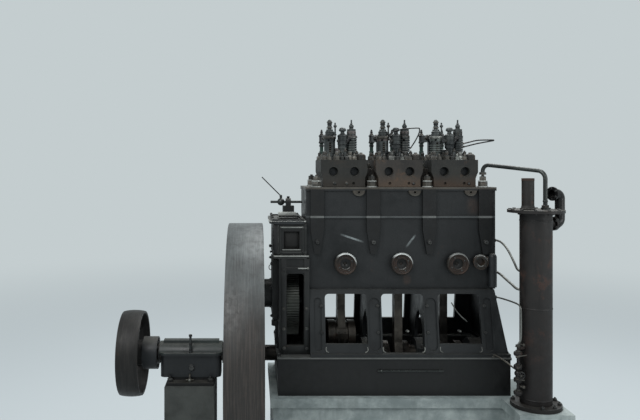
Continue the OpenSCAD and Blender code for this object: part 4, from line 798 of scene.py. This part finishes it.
def valve_details(i, c):
    p = Piece(f"valve_details_{i + 1}", slot="valve_steel")
    exhaust_cage(p, i, c - VALVE_X)
    injector(p, i, c)
    spring_unit(p, i, c + VALVE_X)
    p.done()


def arm_web(p, x):
    """Web on the arm's nose, a plate with its edges rounded."""
    outline = ((0, 0), (120, 0), (110, -14), (56, -40), (16, -36))
    rings = [[(x - t, 62 - u, ROCKER_H - 14 + v) for u, v in outline] for t in (7, 21)]
    before = set(p.bm.verts)
    p.skin(rings, "dark")
    p.round([v for v in p.bm.verts if v not in before], 2, "dark")


def rocker_details(i, c):
    """Pivot nuts and webs of the arms, unions and screws of the push rods."""
    p = Piece(f"rocker_details_{i + 1}", slot="cast_iron")
    for arm_x in (c - VALVE_X, c + VALVE_X):
        for s in (-1, 1):
            p.nut((arm_x + s * 24, 175, ROCKER_H), 36, 14, "nut", (s, 0, 0), stud=8)
        # boss and web at the arm's nose
        p.turned((arm_x, 66, ROCKER_H), [(27, -15), (30, -11), (30, 11), (27, 15)], "dark", RIGHT, 28)
        arm_web(p, arm_x)
        # push rod: eye, adjusting screw with its two nuts, cup and the guide's collar
        x, y = arm_x - 28, PUSH_Y
        p.turned((x, y, ROCKER_H - 28), [(20, -8), (24, -4), (24, 6), (21, 10)], "dark", sides=24)
        p.turned((x, y, ROCKER_H + 28), [(21, -8), (24, -4), (24, 4), (20, 8)], "dark", sides=24)
        p.nut((x, y, ROCKER_H + 34), 30, 14, washer=False)
        screw = [(7.5, 20), (11, 26), (11, 34), (8, 40), (7.5, 50), (4, 54)]
        p.turned((x, y, ROCKER_H + 28), screw, "dark", sides=16)
        p.turned((x, y, HEAD_TOP), [(31.5, -20), (34, -14), (34, 2), (31.5, 6)], "green", sides=28)
        p.turned((x, y, HEAD_TOP + 66), [(18, 0), (19.5, 3), (19.5, 12), (16.5, 16)], "green", sides=24)
        p.nut((x, y, HEAD_TOP + 118), 34, 18, "dark", washer=False)
    p.done()


def fuel_pipe_bends():
    """The thin fuel pipes on smooth bends."""
    p = Piece("fuel_pipe_bends", slot="pipe_steel")
    loop = ((-26, -30, 1890), (-44, -32, 1892), (-50, -40, 1908), (-44, -60, 1930), (-10, -80, 1954),
            (16, -90, 1962), (60, -90, 1972), (174, -60, 1980), (192, -51, 1972), (189, -46, 1940),
            (168, -30, 1888), (148, 0, 1846), (139, 0, 1832), (127, 0, 1828))
    narrow = ((547, -6, 1862), (572, -6, 1866), (664, 0, 1887), (780, 8, 1890), (794, 10, 1887), (780, 10, 1883),
              (664, 0, 1862), (572, -6, 1840), (547, -6, 1836))
    p.pipe(loop, 4.8, "dark", 10)
    p.pipe(narrow, 5.6, "dark", 10)
    p.nut((-27, -30, 1890), 18, 12, "nut", LEFT, washer=False)
    p.nuts((loop[-1], narrow[-1], narrow[0]), 15, 11, axis=RIGHT, washer=False)
    p.done("fuel_pipes")


def tie_bolts():
    """Two nuts and two pale washers on each tie bolt."""
    p = Piece("tie_bolts", slot="head_iron")
    for main in MAINS:
        for y in (-215, 215):
            # the pale washers are a painted highlight where the bridge shades the bolts
            p.disc((main, y, BLOCK_TOP), 38, 8, "polish_and_painted_highlight", edge=1.2)
            p.nut((main, y, BLOCK_TOP + 8), 60, 34, washer=False)
            p.disc((main, y, BLOCK_TOP + 42), 35, 8, "polish_and_painted_highlight", edge=1.2)
            p.nut((main, y, BLOCK_TOP + 50), 44, 32, washer=False, stud=12)
    p.done("tie_bolt_nuts")


fuel_pipe_bends()
for index, centre in enumerate(CYLINDERS):
    head_details(index, centre)
    valve_details(index, centre)
    rocker_details(index, centre)
tie_bolts()


# block
def port_details(p, c):
    """Rims with a painted highlight on top, and a rusty throat."""
    y = BLOCK_FRONT - 48
    rim = [(73, -4), (73, 7.2), (76, 6), (80, 2), (83.5, -3), (84.5, -8), (83.5, -14), (80, -18), (73, -18)]
    face = [(61, -18), (60.6, -4), (62, -1), (66, 0), (69, 4), (73.5, 7.4), (73.5, -17)]
    throat = [(61, -7.5), (61, -6), (56, -5), (53, -8), (49, -8), (45, -4.5), (42, -5.5), (40.2, -10), (39.8, -34)]
    p.turned((c, y, PORT_H), rim, "brass", FRONT, 56, loop=True)
    p.turned((c, y, PORT_H), face, "rusty", FRONT, 56, loop=True)
    # painted highlight on the throat's last step of the first two ports; painted shade in the near-black bottom of the
    # throat
    p.turned((c, y, PORT_H), throat, "rusty", FRONT, 48, tip="nut" if c > 0 else "bright", cap=False)
    p.turned((c, y, PORT_H), [(39.9, -30), (34, -31), (16, -33), (10, -38)], "pit", FRONT, 40, cap=False)
    p.nuts([(c + u, y + 5, PORT_H + v) for u, v in ring_of(4, 53, 0.5)], 12, 5, "rusty", FRONT, washer=False)


def water_outlet_rim(p):
    x, y, h = 590, BLOCK_FRONT - 44, 965
    rim = [(28.5, -10), (28.5, 0.5), (31, 2), (47, 2), (53, -1), (56.5, -7), (56.5, -13), (54, -15.5)]
    p.turned((x, y, h), rim, "brass", FRONT, 48, cap=False)
    p.nuts([(x + u, y - 2, h + v) for u, v in ring_of(4, 42, 0.8)], 13, 6, "rusty", FRONT, washer=False)


def back_door(p, c):
    """Door over the water jacket at the back, with its nuts."""
    y = 264
    p.block((c - 118, 250, 860), (c + 118, y, 1180), "iron", 4)
    rows = [(c + u, y, h) for u in (-100, 0, 100) for h in (880, 1160)]
    rows += [(c + u, y, h) for h in (950, 1020, 1090) for u in (-100, 100)]
    p.nuts(rows, 22, 12, axis=BACK, stud=5)


def end_door(p):
    """Door at the block's right end, and the bolts of the frame's flange under it."""
    x = 722
    p.block((709, -150, 900), (x, 150, 1240), "iron", 4)
    rows = [(x, y, h) for y in (-132, -44, 44, 132) for h in (918, 1222)]
    rows += [(x, y, h) for h in (1000, 1070, 1140) for y in (-132, 132)]
    p.nuts(rows, 22, 12, "dull", RIGHT, stud=5)
    p.nuts([(711, y, 790) for y in (-200, -80, 40, 160)], 26, 15, "dull", RIGHT, stud=6)


def block_details():
    p = Piece("block_details")
    for c in CYLINDERS:
        port_details(p, c)
    water_outlet_rim(p)
    # studs at the casings' pointed feet
    for x in MAINS:
        p.turned((x, -277, 1112), [(19, 0), (19, 8), (16, 11)], "dark", FRONT, 24)
        p.nut((x, -287, 1112), 26, 12, "dull", FRONT, washer=False, stud=4)
    # eye rims of the lifting lugs, and a near-black disc at the back of each hole, painted shade
    eye = [(9.2, -1), (9.2, 1.5), (11, 2.5), (14, 2.5), (15.5, 0.5), (15.5, -1)]
    for c in CYLINDERS:
        p.turned((c + LUG_X, -270, LUG_H), eye, "lug", FRONT, 28, loop=True)
        p.turned((c + LUG_X, -253, LUG_H), [(9, 0), (9, 0.5), (4, 0.6)], "pit", FRONT, 16)
    for c in CYLINDERS:
        back_door(p, c)
    end_door(p)
    p.done()


def lug_castings():
    """Half-round lifting lugs under the block's top flange, each with a through hole."""
    p = Piece("lug_castings")
    half, rise, drop, top = 46, 9, 38, 14
    upper = [(half - 2 * half * k / 14, top) for k in range(15)]
    lower = [(half * math.cos(t), rise + drop * math.sin(t)) for t in (math.pi * k / 16 for k in range(16, 33))]
    outline = upper + lower
    eye = ring_of(32, 1, math.pi / 16)
    # shape, its size and how far it stands before the block
    steps = ((outline, 1, -1), (outline, 1, 15), (outline, 0.94, 18), (eye, 11, 18), (eye, 9, 16), (eye, 9, -1))
    for c in CYLINDERS:
        rings = [[(c + LUG_X + u * size, BLOCK_FRONT - out, LUG_H + v * size) for u, v in shape]
                 for shape, size, out in steps]
        p.skin(rings, "lug", loop=True)
    p.done("lifting_lugs")


block_details()
lug_castings()


# crank frame and bedplate
FRAME_SLOPE = (375 - 286) / 480
FRAME_LEAN = Vector((0, -1, FRAME_SLOPE)).normalized()


def on_frame(x, h, out=0.0):
    """A place on the sloping front of the frame."""
    return Vector((x, -375 + (h - BED_TOP) * FRAME_SLOPE, h)) + FRAME_LEAN * out


def frame_details():
    p = Piece("frame_details")
    # nuts in the columns' recessed panels, and two studs rubbed bright
    for main in MAINS:
        inset = 0 if abs(main) > PITCH else -12
        row = [on_frame(main + (-26 if main > 0 else 26), h, inset) for h in (452, 642)]
        p.nuts(row, 20, 12, "dull", FRAME_LEAN, stud=5)
    for x in (32, 417):
        p.turned(on_frame(x, 462, -29), [(9, 0), (9, 40), (6, 44)], "bright", FRAME_LEAN, 16)
    # bolts of the foot at the back
    foot = (-630, -540, -420, -300, -210, -90, 0, 90, 210, 300, 420, 540, 630)
    p.nuts([(x, 384, 304) for x in foot], 20, 12, "dull", stud=6)
    # nuts of the bearing caps
    for main in MAINS:
        for y in (-98, 98):
            p.nut((main, y, 275), 34, 26, "dull", stud=14)
            p.block((main - 34, y - 20, 262), (main + 34, y + 20, 275), "frame")
    # thin oil pipe in the third opening
    pit_shade_colour = ((372, 664, -20), (378, 640, 6), (396, 606, 12), (430, 566, 14), (462, 540, 6), (482, 528, -24))
    p.pipe([on_frame(*place) for place in pit_shade_colour], 4.5, "bright", steps=6)
    # beads where the columns meet the foot, bright as painted highlights
    for c in CYLINDERS:
        for s in (-1, 1):
            bead = ((152, 350, -2), (154, 330, 1), (148, 318, 1.5), (134, 312, 0))
            p.pipe([on_frame(c + s * x, h, out) for x, h, out in bead], 4, "bright", 8)
    # holding-down bolts at the ends of the bedplate
    p.nuts([(-922, y, BED_TOP) for y in (-340, -120, 120, 340)], 26, 22, "dull", stud=12)
    p.nuts([(768, y, BED_TOP) for y in (-340, 340)], 36, 20, "dull", stud=12)
    p.done()


def rod_details(i, c, phase):
    """Bolts and oil cup of a rod's big end."""
    p = Piece(f"rod_bolts_{i + 1}", f"rod_{i + 1}", "machined_steel")
    y = CRANK_R * math.sin(math.radians(phase))
    h = AXIS_H + CRANK_R * math.cos(math.radians(phase))
    for s in (-1, 1):
        for x in (-24, 24):
            p.nut((c + x, y + s * 84, h - 22), 26, 20, "nut", DOWN, stud=8)
            p.turned((c + x, y + s * 84, h + 22), [(13, 0), (13, 12), (11, 14)], "nut", UP, 16)
    p.turned((c, y, h + 100), [(9, 0), (12, 6), (12, 18), (6, 22)], "brass", (0, -0.4, 1), 16)
    p.done()


frame_details()
for index, (centre, phase) in enumerate(zip(CYLINDERS, CRANK_PHASES)):
    rod_details(index, centre, phase)


# wheels
def wheel_arms(p, x, stops, look):
    """Six oval arms; stops are (radius, half width across the arm, half thickness along the shaft)."""
    centre = Vector((x, 0, AXIS_H))
    for k in range(6):
        angle = k * math.pi / 3
        out = Vector((0, math.sin(angle), math.cos(angle)))
        across = Vector((0, math.cos(angle), -math.sin(angle)))
        rings = [[centre + out * r + across * (a * u) + RIGHT * (b * v) for u, v in ring_of(24)]
                 for r, a, b in stops]
        p.skin(rings, look)


def mirrored(profile):
    """A profile of half a hub, carried on over its middle."""
    return [(r, -x) for r, x in profile] + profile[::-1]


def flywheel():
    p = Piece("flywheel_casting", "crank", "flywheel_iron")
    place = (WHEEL_X, 0, AXIS_H)
    r, q, w, e = 1020, 870, 135, 7
    rim = [(r - e, -w), (r - 2, -w + 2), (r, -w + e), (r, w - e), (r - 2, w - 2), (r - e, w),
           (q + e, w), (q + 2, w - 2), (q, w - e), (q - 7, w * 0.5), (q - 9, 0), (q - 7, -w * 0.5),
           (q, -w + e), (q + 2, -w + 2), (q + e, -w)]
    hub = mirrored([(62, 147), (128, 147), (138, 141), (142, 120), (158, 90), (170, 50)])
    p.turned(place, rim, "wheel", RIGHT, 192, loop=True)
    p.turned(place, hub, "wheel", RIGHT, 64)
    wheel_arms(p, WHEEL_X, [(120, 92, 70), (172, 80, 52), (200, 70, 42), (260, 62, 36), (500, 56, 33),
                            (780, 52, 30), (840, 58, 36), (862, 72, 50), (876, 90, 70)], "wheel")
    # key in the hub
    p.block((WHEEL_X - 158, -16, AXIS_H + 56), (WHEEL_X - 140, 16, AXIS_H + 78), "steel")
    p.done("flywheel", smooth=30)


def pulley():
    p = Piece("pulley_casting", "crank", "pulley_iron")
    place = (PULLEY_X, 0, AXIS_H)
    w = 82.5
    crown = [(322 + 8 * (1 - (k / 5) ** 2) - (1.5 if abs(k) == 5 else 0), w * k / 5) for k in range(-5, 6)]
    p.turned(place, crown + [(312, w), (305, w - 4), (305, -w + 4), (312, -w)], "pulley", RIGHT, 128, loop=True)
    p.turned(place, mirrored([(62, 81), (88, 81), (96, 76), (98, 30)]), "pulley", RIGHT, 48)
    wheel_arms(p, PULLEY_X, [(80, 40, 26), (110, 34, 20), (200, 28, 16), (284, 26, 15), (300, 34, 22),
                             (309, 44, 30)], "pulley")
    p.block((PULLEY_X - 90, -12, AXIS_H + 56), (PULLEY_X - 78, 12, AXIS_H + 72), "steel")
    # coupling hub: lips at its ends and the bolts of its two halves
    lip = [(118, -10), (125.5, -9), (126, -5), (123, 0.4), (72, 0.4), (66, -3)]
    for x, axis in ((-1972, LEFT), (-1858, RIGHT)):
        p.turned((x, 0, AXIS_H), lip, "iron", axis, 64, cap=False)
    p.nuts([(-1858, u, AXIS_H + v) for u, v in ring_of(6, 98, 0.4)], 24, 7, "dull", RIGHT, washer=False)
    p.done("belt_pulley", smooth=30)


flywheel()
pulley()


# outboard bearing
def bearing_details():
    p = Piece("bearing_details")
    mid, lip_h = BEARING_X, 236
    # bolts of the lip at the back, and of the feet
    for x in (-214, -140, -66, 66, 140, 214):
        p.nut((mid + x, 104 * (1 if abs(x) < 200 else 0.86), lip_h), 22, 15, "dull", stud=8)
    p.nuts([(mid + x, y, 22) for x in (-156, 156) for y in (-128, 128)], 38, 26, "dull", stud=16)
    # oiler: collar, ring and a rim at its top
    for h, profile in ((lip_h, [(13.5, -1), (13.5, 8), (11, 12), (9.2, 30)]),
                       (300, [(9.2, 0), (12, 3), (12, 12), (9.2, 15)]),
                       (362, [(13.4, 0), (13.4, 13), (11.5, 15.5)])):
        p.turned((mid, -102, h), profile, "dark", sides=24)
    # seam of the two halves, bright on the lip's edge as a painted highlight
    p.tube([(mid - 200, -117, 235), (mid + 200, -117, 235)], 3.6, "wear_and_painted_light", 8)
    # sight plug and drain cock on the front of the body
    p.turned((mid + 8, -98, 118), [(26, -3), (26, 5), (22, 8)], "iron", FRONT, 28)
    p.nut((mid + 8, -103, 118), 34, 14, "bright", FRONT, washer=False)
    x, y = mid - 4, -122
    p.pipe([(x, -96, 70), (x, -116, 68), (x, y, 54), (x, y, -4)], 7, "nut")
    p.turned((x, y, 22), [(9, -2), (13, 2), (13, 18), (9, 22)], "nut", sides=20)
    p.tube([(x - 30, y, 32), (x + 30, y, 32)], 5, "nut", 10)
    p.turned((x, y - 12, 32), [(6, -8), (9, 0), (9, 8), (5, 11)], "bright", FRONT, 16)
    # oil rings at the ends of the housing
    ring = [(62, -6), (80, -6), (80, 4), (76, 7), (62, 7)]
    for axis, end in ((LEFT, mid - 250), (RIGHT, mid + 250)):
        p.turned((end, 0, AXIS_H), ring, "dark", axis, 40, loop=True)
    p.done()


bearing_details()


# gear column
GEAR_FRONT = -306
CASE_FRONT = -301


def lower_case_details(p):
    """Flanged frame round the slot with its nuts, and the ledge over it."""
    front = GEAR_FRONT - 8
    for x0, x1, h0, h1 in ((-902, -863, 292, 1000), (-731, -692, 292, 1000), (-864, -730, 292, 348),
                           (-864, -730, 884, 930)):
        p.block((x0, front, h0), (x1, GEAR_FRONT + 2, h1), "gear", 2.5)
    for x, h, look in ((-882, 911, "dull"), (-882, 621, "nut"), (-713, 621, "nut"), (-882, 472, "nut"),
                       (-713, 472, "bright"), (-880, 328, "nut"), (-712, 328, "dull")):
        p.nut((x, front, h), 20, 10, look, FRONT, stud=4)
    # nosing of the ledge, bright as a painted highlight, and the bolts that hold the upper case
    nosing = ((-958, -300, 1012), (-952, -314, 1012), (-930, -316, 1012), (-830, -316, 1012), (-712, -316, 1012),
              (-700, -312, 1010), (-697, -300, 1008))
    p.pipe(nosing, 5.5, "polish_and_painted_highlight", 10)
    p.tube([(-925, -315, 996), (-712, -315, 996)], 2.6, "wear_and_painted_light", 8)
    p.nuts([(x, -303, 1015) for x in (-900, -812, -724)], 16, 9, "dull", stud=3)
    p.nuts([(-946, y * 1.2, 1015) for y in (-220, -110, 0, 110, 220)], 18, 10, "dull", stud=4)


def upper_case_details(p):
    """Corner strip, pale lines over and under the window as painted highlights, a near-black panel in the window as
    painted shade, and the dressed cover.
    """
    p.tube([(-924, -293, 1040), (-924, -293, 1244)], 4.2, "wear_and_painted_light", 10)
    p.block((-959.5, -293.5, 1018), (-930, -288, 1249), "dark", 1.5)
    p.tube([(-908, CASE_FRONT, 1226), (-738, CASE_FRONT, 1226)], 4, "polish_and_painted_highlight", 10)
    p.tube([(-893, CASE_FRONT, 1058), (-757, CASE_FRONT, 1058)], 3.4, "polish_and_painted_highlight", 10)
    p.block((-887, -268, 1060), (-759, -262, 1200), "pit", 1)
    p.block((-872, -272, 1076), (-774, -266, 1184), "pit", 3)
    p.nuts([(x, CASE_FRONT, h) for x in (-905, -741) for h in (1042, 1220)], 14, 6, "dull", FRONT, stud=2)
    # cover: pale plate before the bracket, a bead round its edge bright as a painted highlight, low nuts
    p.block((-912, -100, 1284), (-782, -56, 1301), "dark")
    p.block((-916, -108, 1300), (-778, -52, 1326), "polish_and_painted_highlight", 3)
    p.block((-925, -160, 1283), (-768, -118, 1290), "wear_and_painted_light")
    bead = ((-990, -120), (-990, -262), (-982, -290), (-962, -296), (-850, -296), (-716, -296))
    p.pipe([(x, y, 1268) for x, y in bead], 4.5, "polish_and_painted_highlight", 10)
    p.nuts([(x, 268, 1285) for x in (-960, -850, -744)], 18, 9, "dull", stud=4)
    p.nuts([(-962, y, 1285) for y in (-180, -90, 90, 180)], 18, 9, "dull", stud=4)


def column_fittings(p):
    """Round drive and feed pipe's flange on the outer side, rod over the slot, knobs and wire ring."""
    x, h = GEAR_CASE_LEFT, GEAR_H + 59
    p.turned((x, 0, h), [(84, -1), (84, 6), (78, 9), (30, 9), (26, 12), (1, 12)], "gear", LEFT, 48)
    p.nuts([(x, u, h + v) for u, v in ring_of(8, 97)], 20, 9, "dull", LEFT, stud=3)
    p.nuts([(-920 + u, v, GEAR_H - 156) for u, v in ring_of(4, 34, 0.6)], 16, 11, "dull", stud=4)
    p.nuts([(-964, y, h) for h in (540, 760, 940) for y in (-174, 174)], 20, 12, "dull", LEFT, stud=5)
    rod_y = GEAR_FRONT - 14
    p.tube([(-778, rod_y, 922), (-708, rod_y, 922)], 4.5, "polish_and_painted_highlight")
    p.turned((-708, rod_y, 922), [(4, -2), (10, 0), (11, 6), (8, 11)], "bright", RIGHT, 16)
    for x in (-770, -716):
        p.block((x - 4, GEAR_FRONT - 16, 914), (x + 4, GEAR_FRONT + 2, 923), "gear", 1.5)
    p.turned((-960, -40, 1058), [(7, -2), (7, 8), (12, 12), (13, 20), (8, 26)], "dark", LEFT, 20)
    p.turned((-960, -40, 1012), [(6, -2), (6, 8), (9, 10), (9, 16), (5, 19)], "dark", LEFT, 16)
    p.tube([(-972 - 15 * v, -60, 893 + 20 * u) for u, v in ring_of(24)], 3, "dark", 8, loop=True)
    p.turned((-964, -60, 913), [(6, -2), (6, 6), (4, 9)], "dark", LEFT, 12)


def gear_details():
    p = Piece("gear_details")
    lower_case_details(p)
    upper_case_details(p)
    column_fittings(p)
    p.done()


gear_details()


# receiver
def receiver_vessel(p):
    """Bolts, bands and lips of the vessel, the unions of its pipe and the flanges of its bend."""
    x, y, top = RECEIVER_X, RECEIVER_Y, RECEIVER_TOP
    for u, v in ring_of(12, 170, 0.1):
        p.nut((x + u, y + v, top + 20), 20, 7, "dull", washer=False)
        if u > -120:
            p.nut((x + u, y + v, top), 20, 8, "dull", DOWN, washer=False)
    foot = [(x + u, y + v, 26) for u, v in ring_of(10, 150, 0.2) if not (u < -60 and v < -20)]
    p.nuts(foot, 24, 16, "dull", stud=8)
    # pale rim of the foot, wear and painted highlight; seams and bands of the shell
    p.turned((x, y, 26), [(169.5, -2), (170, 0.5), (165, 0.9), (164, -2)], "wear_and_painted_light", sides=72, loop=True)
    for h in (60, 690, 1300):
        p.turned((x, y, h), [(107, -7), (110, -3), (110, 3), (107, 7)], "receiver", sides=64)
    # lip of the open stub and the collar at its foot
    lip = [(35.2, -20), (35.2, 0), (37, 2), (41, 2), (43.2, 0), (43.2, -16)]
    p.turned((x - 56, y, top + 238), lip, "rusty", sides=40, loop=True)
    p.turned((x - 56, y, top + 20), [(43, 0), (52, 2), (52, 9), (46, 14), (42.5, 30)], "receiver", sides=40)
    # union nuts at the two ends of the gooseneck pipe, and its weld
    p.nut((630, -215, BLOCK_TOP + 94), 44, 20, washer=False)
    p.nut((x + 66, y, top + 34), 46, 18, washer=False)
    p.turned((x + 66, y, top + 78), [(15.2, -6), (17.5, -3), (17.5, 3), (15.2, 6)], "pipe", sides=28)
    # bolts of the return bend's flanges
    angle = math.radians(25)
    out = Vector((math.cos(angle), math.sin(angle), 0))
    across = Vector((-out.y, out.x, 0))
    for start, height, back in ((169, 1272, 13.5), (157, 1484, 0)):
        for u, v in ring_of(6, 41, 0.5):
            place = Vector((x, y, height)) + out * start + across * u + UP * v
            p.nut(place + out * 13, 15, 9, "dull", out, stud=3)
            p.nut(place - out * back, 15, 7, "dull", -out, washer=False)


def standpipe(p):
    """Bonnets, handwheel, levers and knobs of the standpipe's valves, and the two pipes that reach it."""
    x, y = STAND_X, STAND_Y
    for h in (100, 190, 280, 370):
        p.turned((x, y, h), [(27.2, 3), (29, 6), (29, 18), (27.2, 21)], "receiver", sides=28)
        p.nut((x, y, h + 24), 30, 12, washer=False)
        p.nut((x, y, h), 30, 8, "dull", DOWN, washer=False)
    wheel_y, wheel_h = y - 52, 245
    p.turned((x, y - 24, wheel_h), [(8, -4), (8, 22), (6, 24), (6, 34)], "nut", FRONT, 16)
    p.tube([(x + u, wheel_y, wheel_h + v) for u, v in ring_of(24, 25)], 4, "dark", 8, loop=True)
    for u, v in ring_of(6, 24)[:3]:
        p.tube([(x - u, wheel_y, wheel_h - v), (x + u, wheel_y, wheel_h + v)], 3, "dark", 8)
    p.nut((x, y, 430), 30, 14, stud=4)
    for end, h, rise in ((46, 374, 7), (30, 213, -5)):
        p.turned((x, y - 22, h), [(9, -6), (9, 6), (6, 8), (6, 16)], "dull", FRONT, 16)
        lever = [(x - 29, y - 36, h - rise), (x, y - 36, h), (x + end, y - 36, h + rise)]
        p.tube(lever, [7, 6, 4.5], "nut")
    for u, h in ((-12, 292), (30, 158), (30, 449)):
        knob = [(5, -6), (5, 12), (10, 14), (11, 20), (7, 25)]
        p.turned((x + u * 0.6, y - 14, h), knob, "nut", (u, -36, 0), 16)
    # light pipe from the frame's end over to the standpipe's head
    light = ((698, -262, 700), (708, -280, 702), (722, -420, 712), (738, -590, 716), (742, -640, 704),
             (742, -652, 670), (742, -654, 560), (740, -652, 480), (728, -649, 452), (723, -648.7, 440))
    p.pipe(light, 6, "bright", steps=6)
    p.nut((700, -266, 700), 26, 14, "nut", (0.5, -0.8, 0), washer=False)
    # drain pipe from the bedplate's rim to the standpipe
    p.nut((646, -384, BED_TOP), 26, 12, washer=False)
    drain = ((646, -384, 288), (648, -388, 298), (660, -410, 300), (690, -490, 286), (712, -580, 268),
             (721, -625, 264), (722.8, -646, 264))
    p.pipe(drain, 6, "nut", steps=6)


def receiver_details():
    p = Piece("receiver_details", slot="receiver_iron")
    receiver_vessel(p)
    standpipe(p)
    p.done()


def side_pipe_bends():
    """The two side pipes on smooth bends, with a nut at each end."""
    p = Piece("side_pipe_bends", slot="pipe_steel")
    upper = ((711.3, -212, 1120), (738, -214, 1119), (763, -250, 1104), (778, -320, 1062), (782, -420, 992),
             (784, -480, 944), (796, -511, 930))
    lower = ((711.3, -212, 880), (736, -214, 879), (752, -248, 868), (760, -330, 846), (766, -430, 824),
             (774, -490, 806), (796, -511, 800))
    p.pipe(upper, 8, "bright", 14, 7)
    p.pipe(lower, 9.5, "bright", 14, 7)
    p.nut((711.5, -212, 1120), 34, 14, "nut", RIGHT)
    p.nut((711.5, -212, 880), 38, 16, "nut", RIGHT)
    p.done("side_pipes")


side_pipe_bends()
receiver_details()


# floor and light
BACKDROP = rgb(196, 205, 207)


def make_floor():
    bm = bmesh.new()
    bmesh.ops.create_circle(bm, cap_ends=True, radius=180, segments=96)
    mesh = bpy.data.meshes.new("floor")
    bm.to_mesh(mesh)
    floor = bpy.data.objects.new("floor", mesh)
    bpy.context.collection.objects.link(floor)
    k = Look("pale_floor")
    k.set(Base_Color=k.mix(k.noise(0.8, 4), rgb(186, 190, 190), rgb(194, 198, 198)), Roughness=0.9)
    # what the camera and glossy metal see of the floor is lifted evenly, and keeps the shadow
    seen = k.node("BsdfDiffuse", {"Color": rgb(156, 162, 163)})
    glow = k.node("Emission", {"Color": (0.225, 0.25, 0.258)})
    lifted = k.node("AddShader", {0: seen, 1: glow})
    far = k.node("Emission", {"Color": BACKDROP})
    distance = k.vector("DISTANCE", k.coord, (0.0, 0.0, 0.0))
    fade = k.node("MixShader", {0: k.step(distance, 3.5, 15), 1: lifted, 2: far})
    shown = k.node("MixShader", {0: k.backdrop_rays(), 1: k.bsdf.outputs[0], 2: fade})
    k.put(k.out.inputs["Surface"], shown)
    mesh.materials.append(k.mat)


def make_world():
    world = bpy.data.worlds.new("studio")
    bpy.context.scene.world = world
    k = Tree(world, "ShaderNodeOutputWorld")
    light = k.node("Background", {"Color": (0.86, 0.93, 1.0), "Strength": 0.55})
    seen = k.node("Background", {"Color": BACKDROP, "Strength": 1.0})
    k.put(k.out.inputs["Surface"], k.node("MixShader", {0: k.backdrop_rays(), 1: light, 2: seen}))


def make_lamps():
    for name, place, aim, size, power in (
        ("key", (-3.5, -4.5, 6.5), (0, 0, 1.6), 3.5, 260),
        ("top", (1.0, 2.0, 6.5), (0, 0, 1.6), 4.5, 300),
        ("fill", (4.5, -4.0, 3.5), (0, 0, 1.5), 3.5, 90),
    ):
        data = bpy.data.lights.new(name, "AREA")
        data.energy = power
        data.size = size
        lamp = bpy.data.objects.new(name, data)
        bpy.context.collection.objects.link(lamp)
        lamp.location = place
        lamp.rotation_mode = "QUATERNION"
        lamp.rotation_quaternion = (Vector(aim) - Vector(place)).to_track_quat("-Z", "Y")


make_floor()
make_world()
make_lamps()
bpy.context.scene.view_settings.view_transform = "Standard"
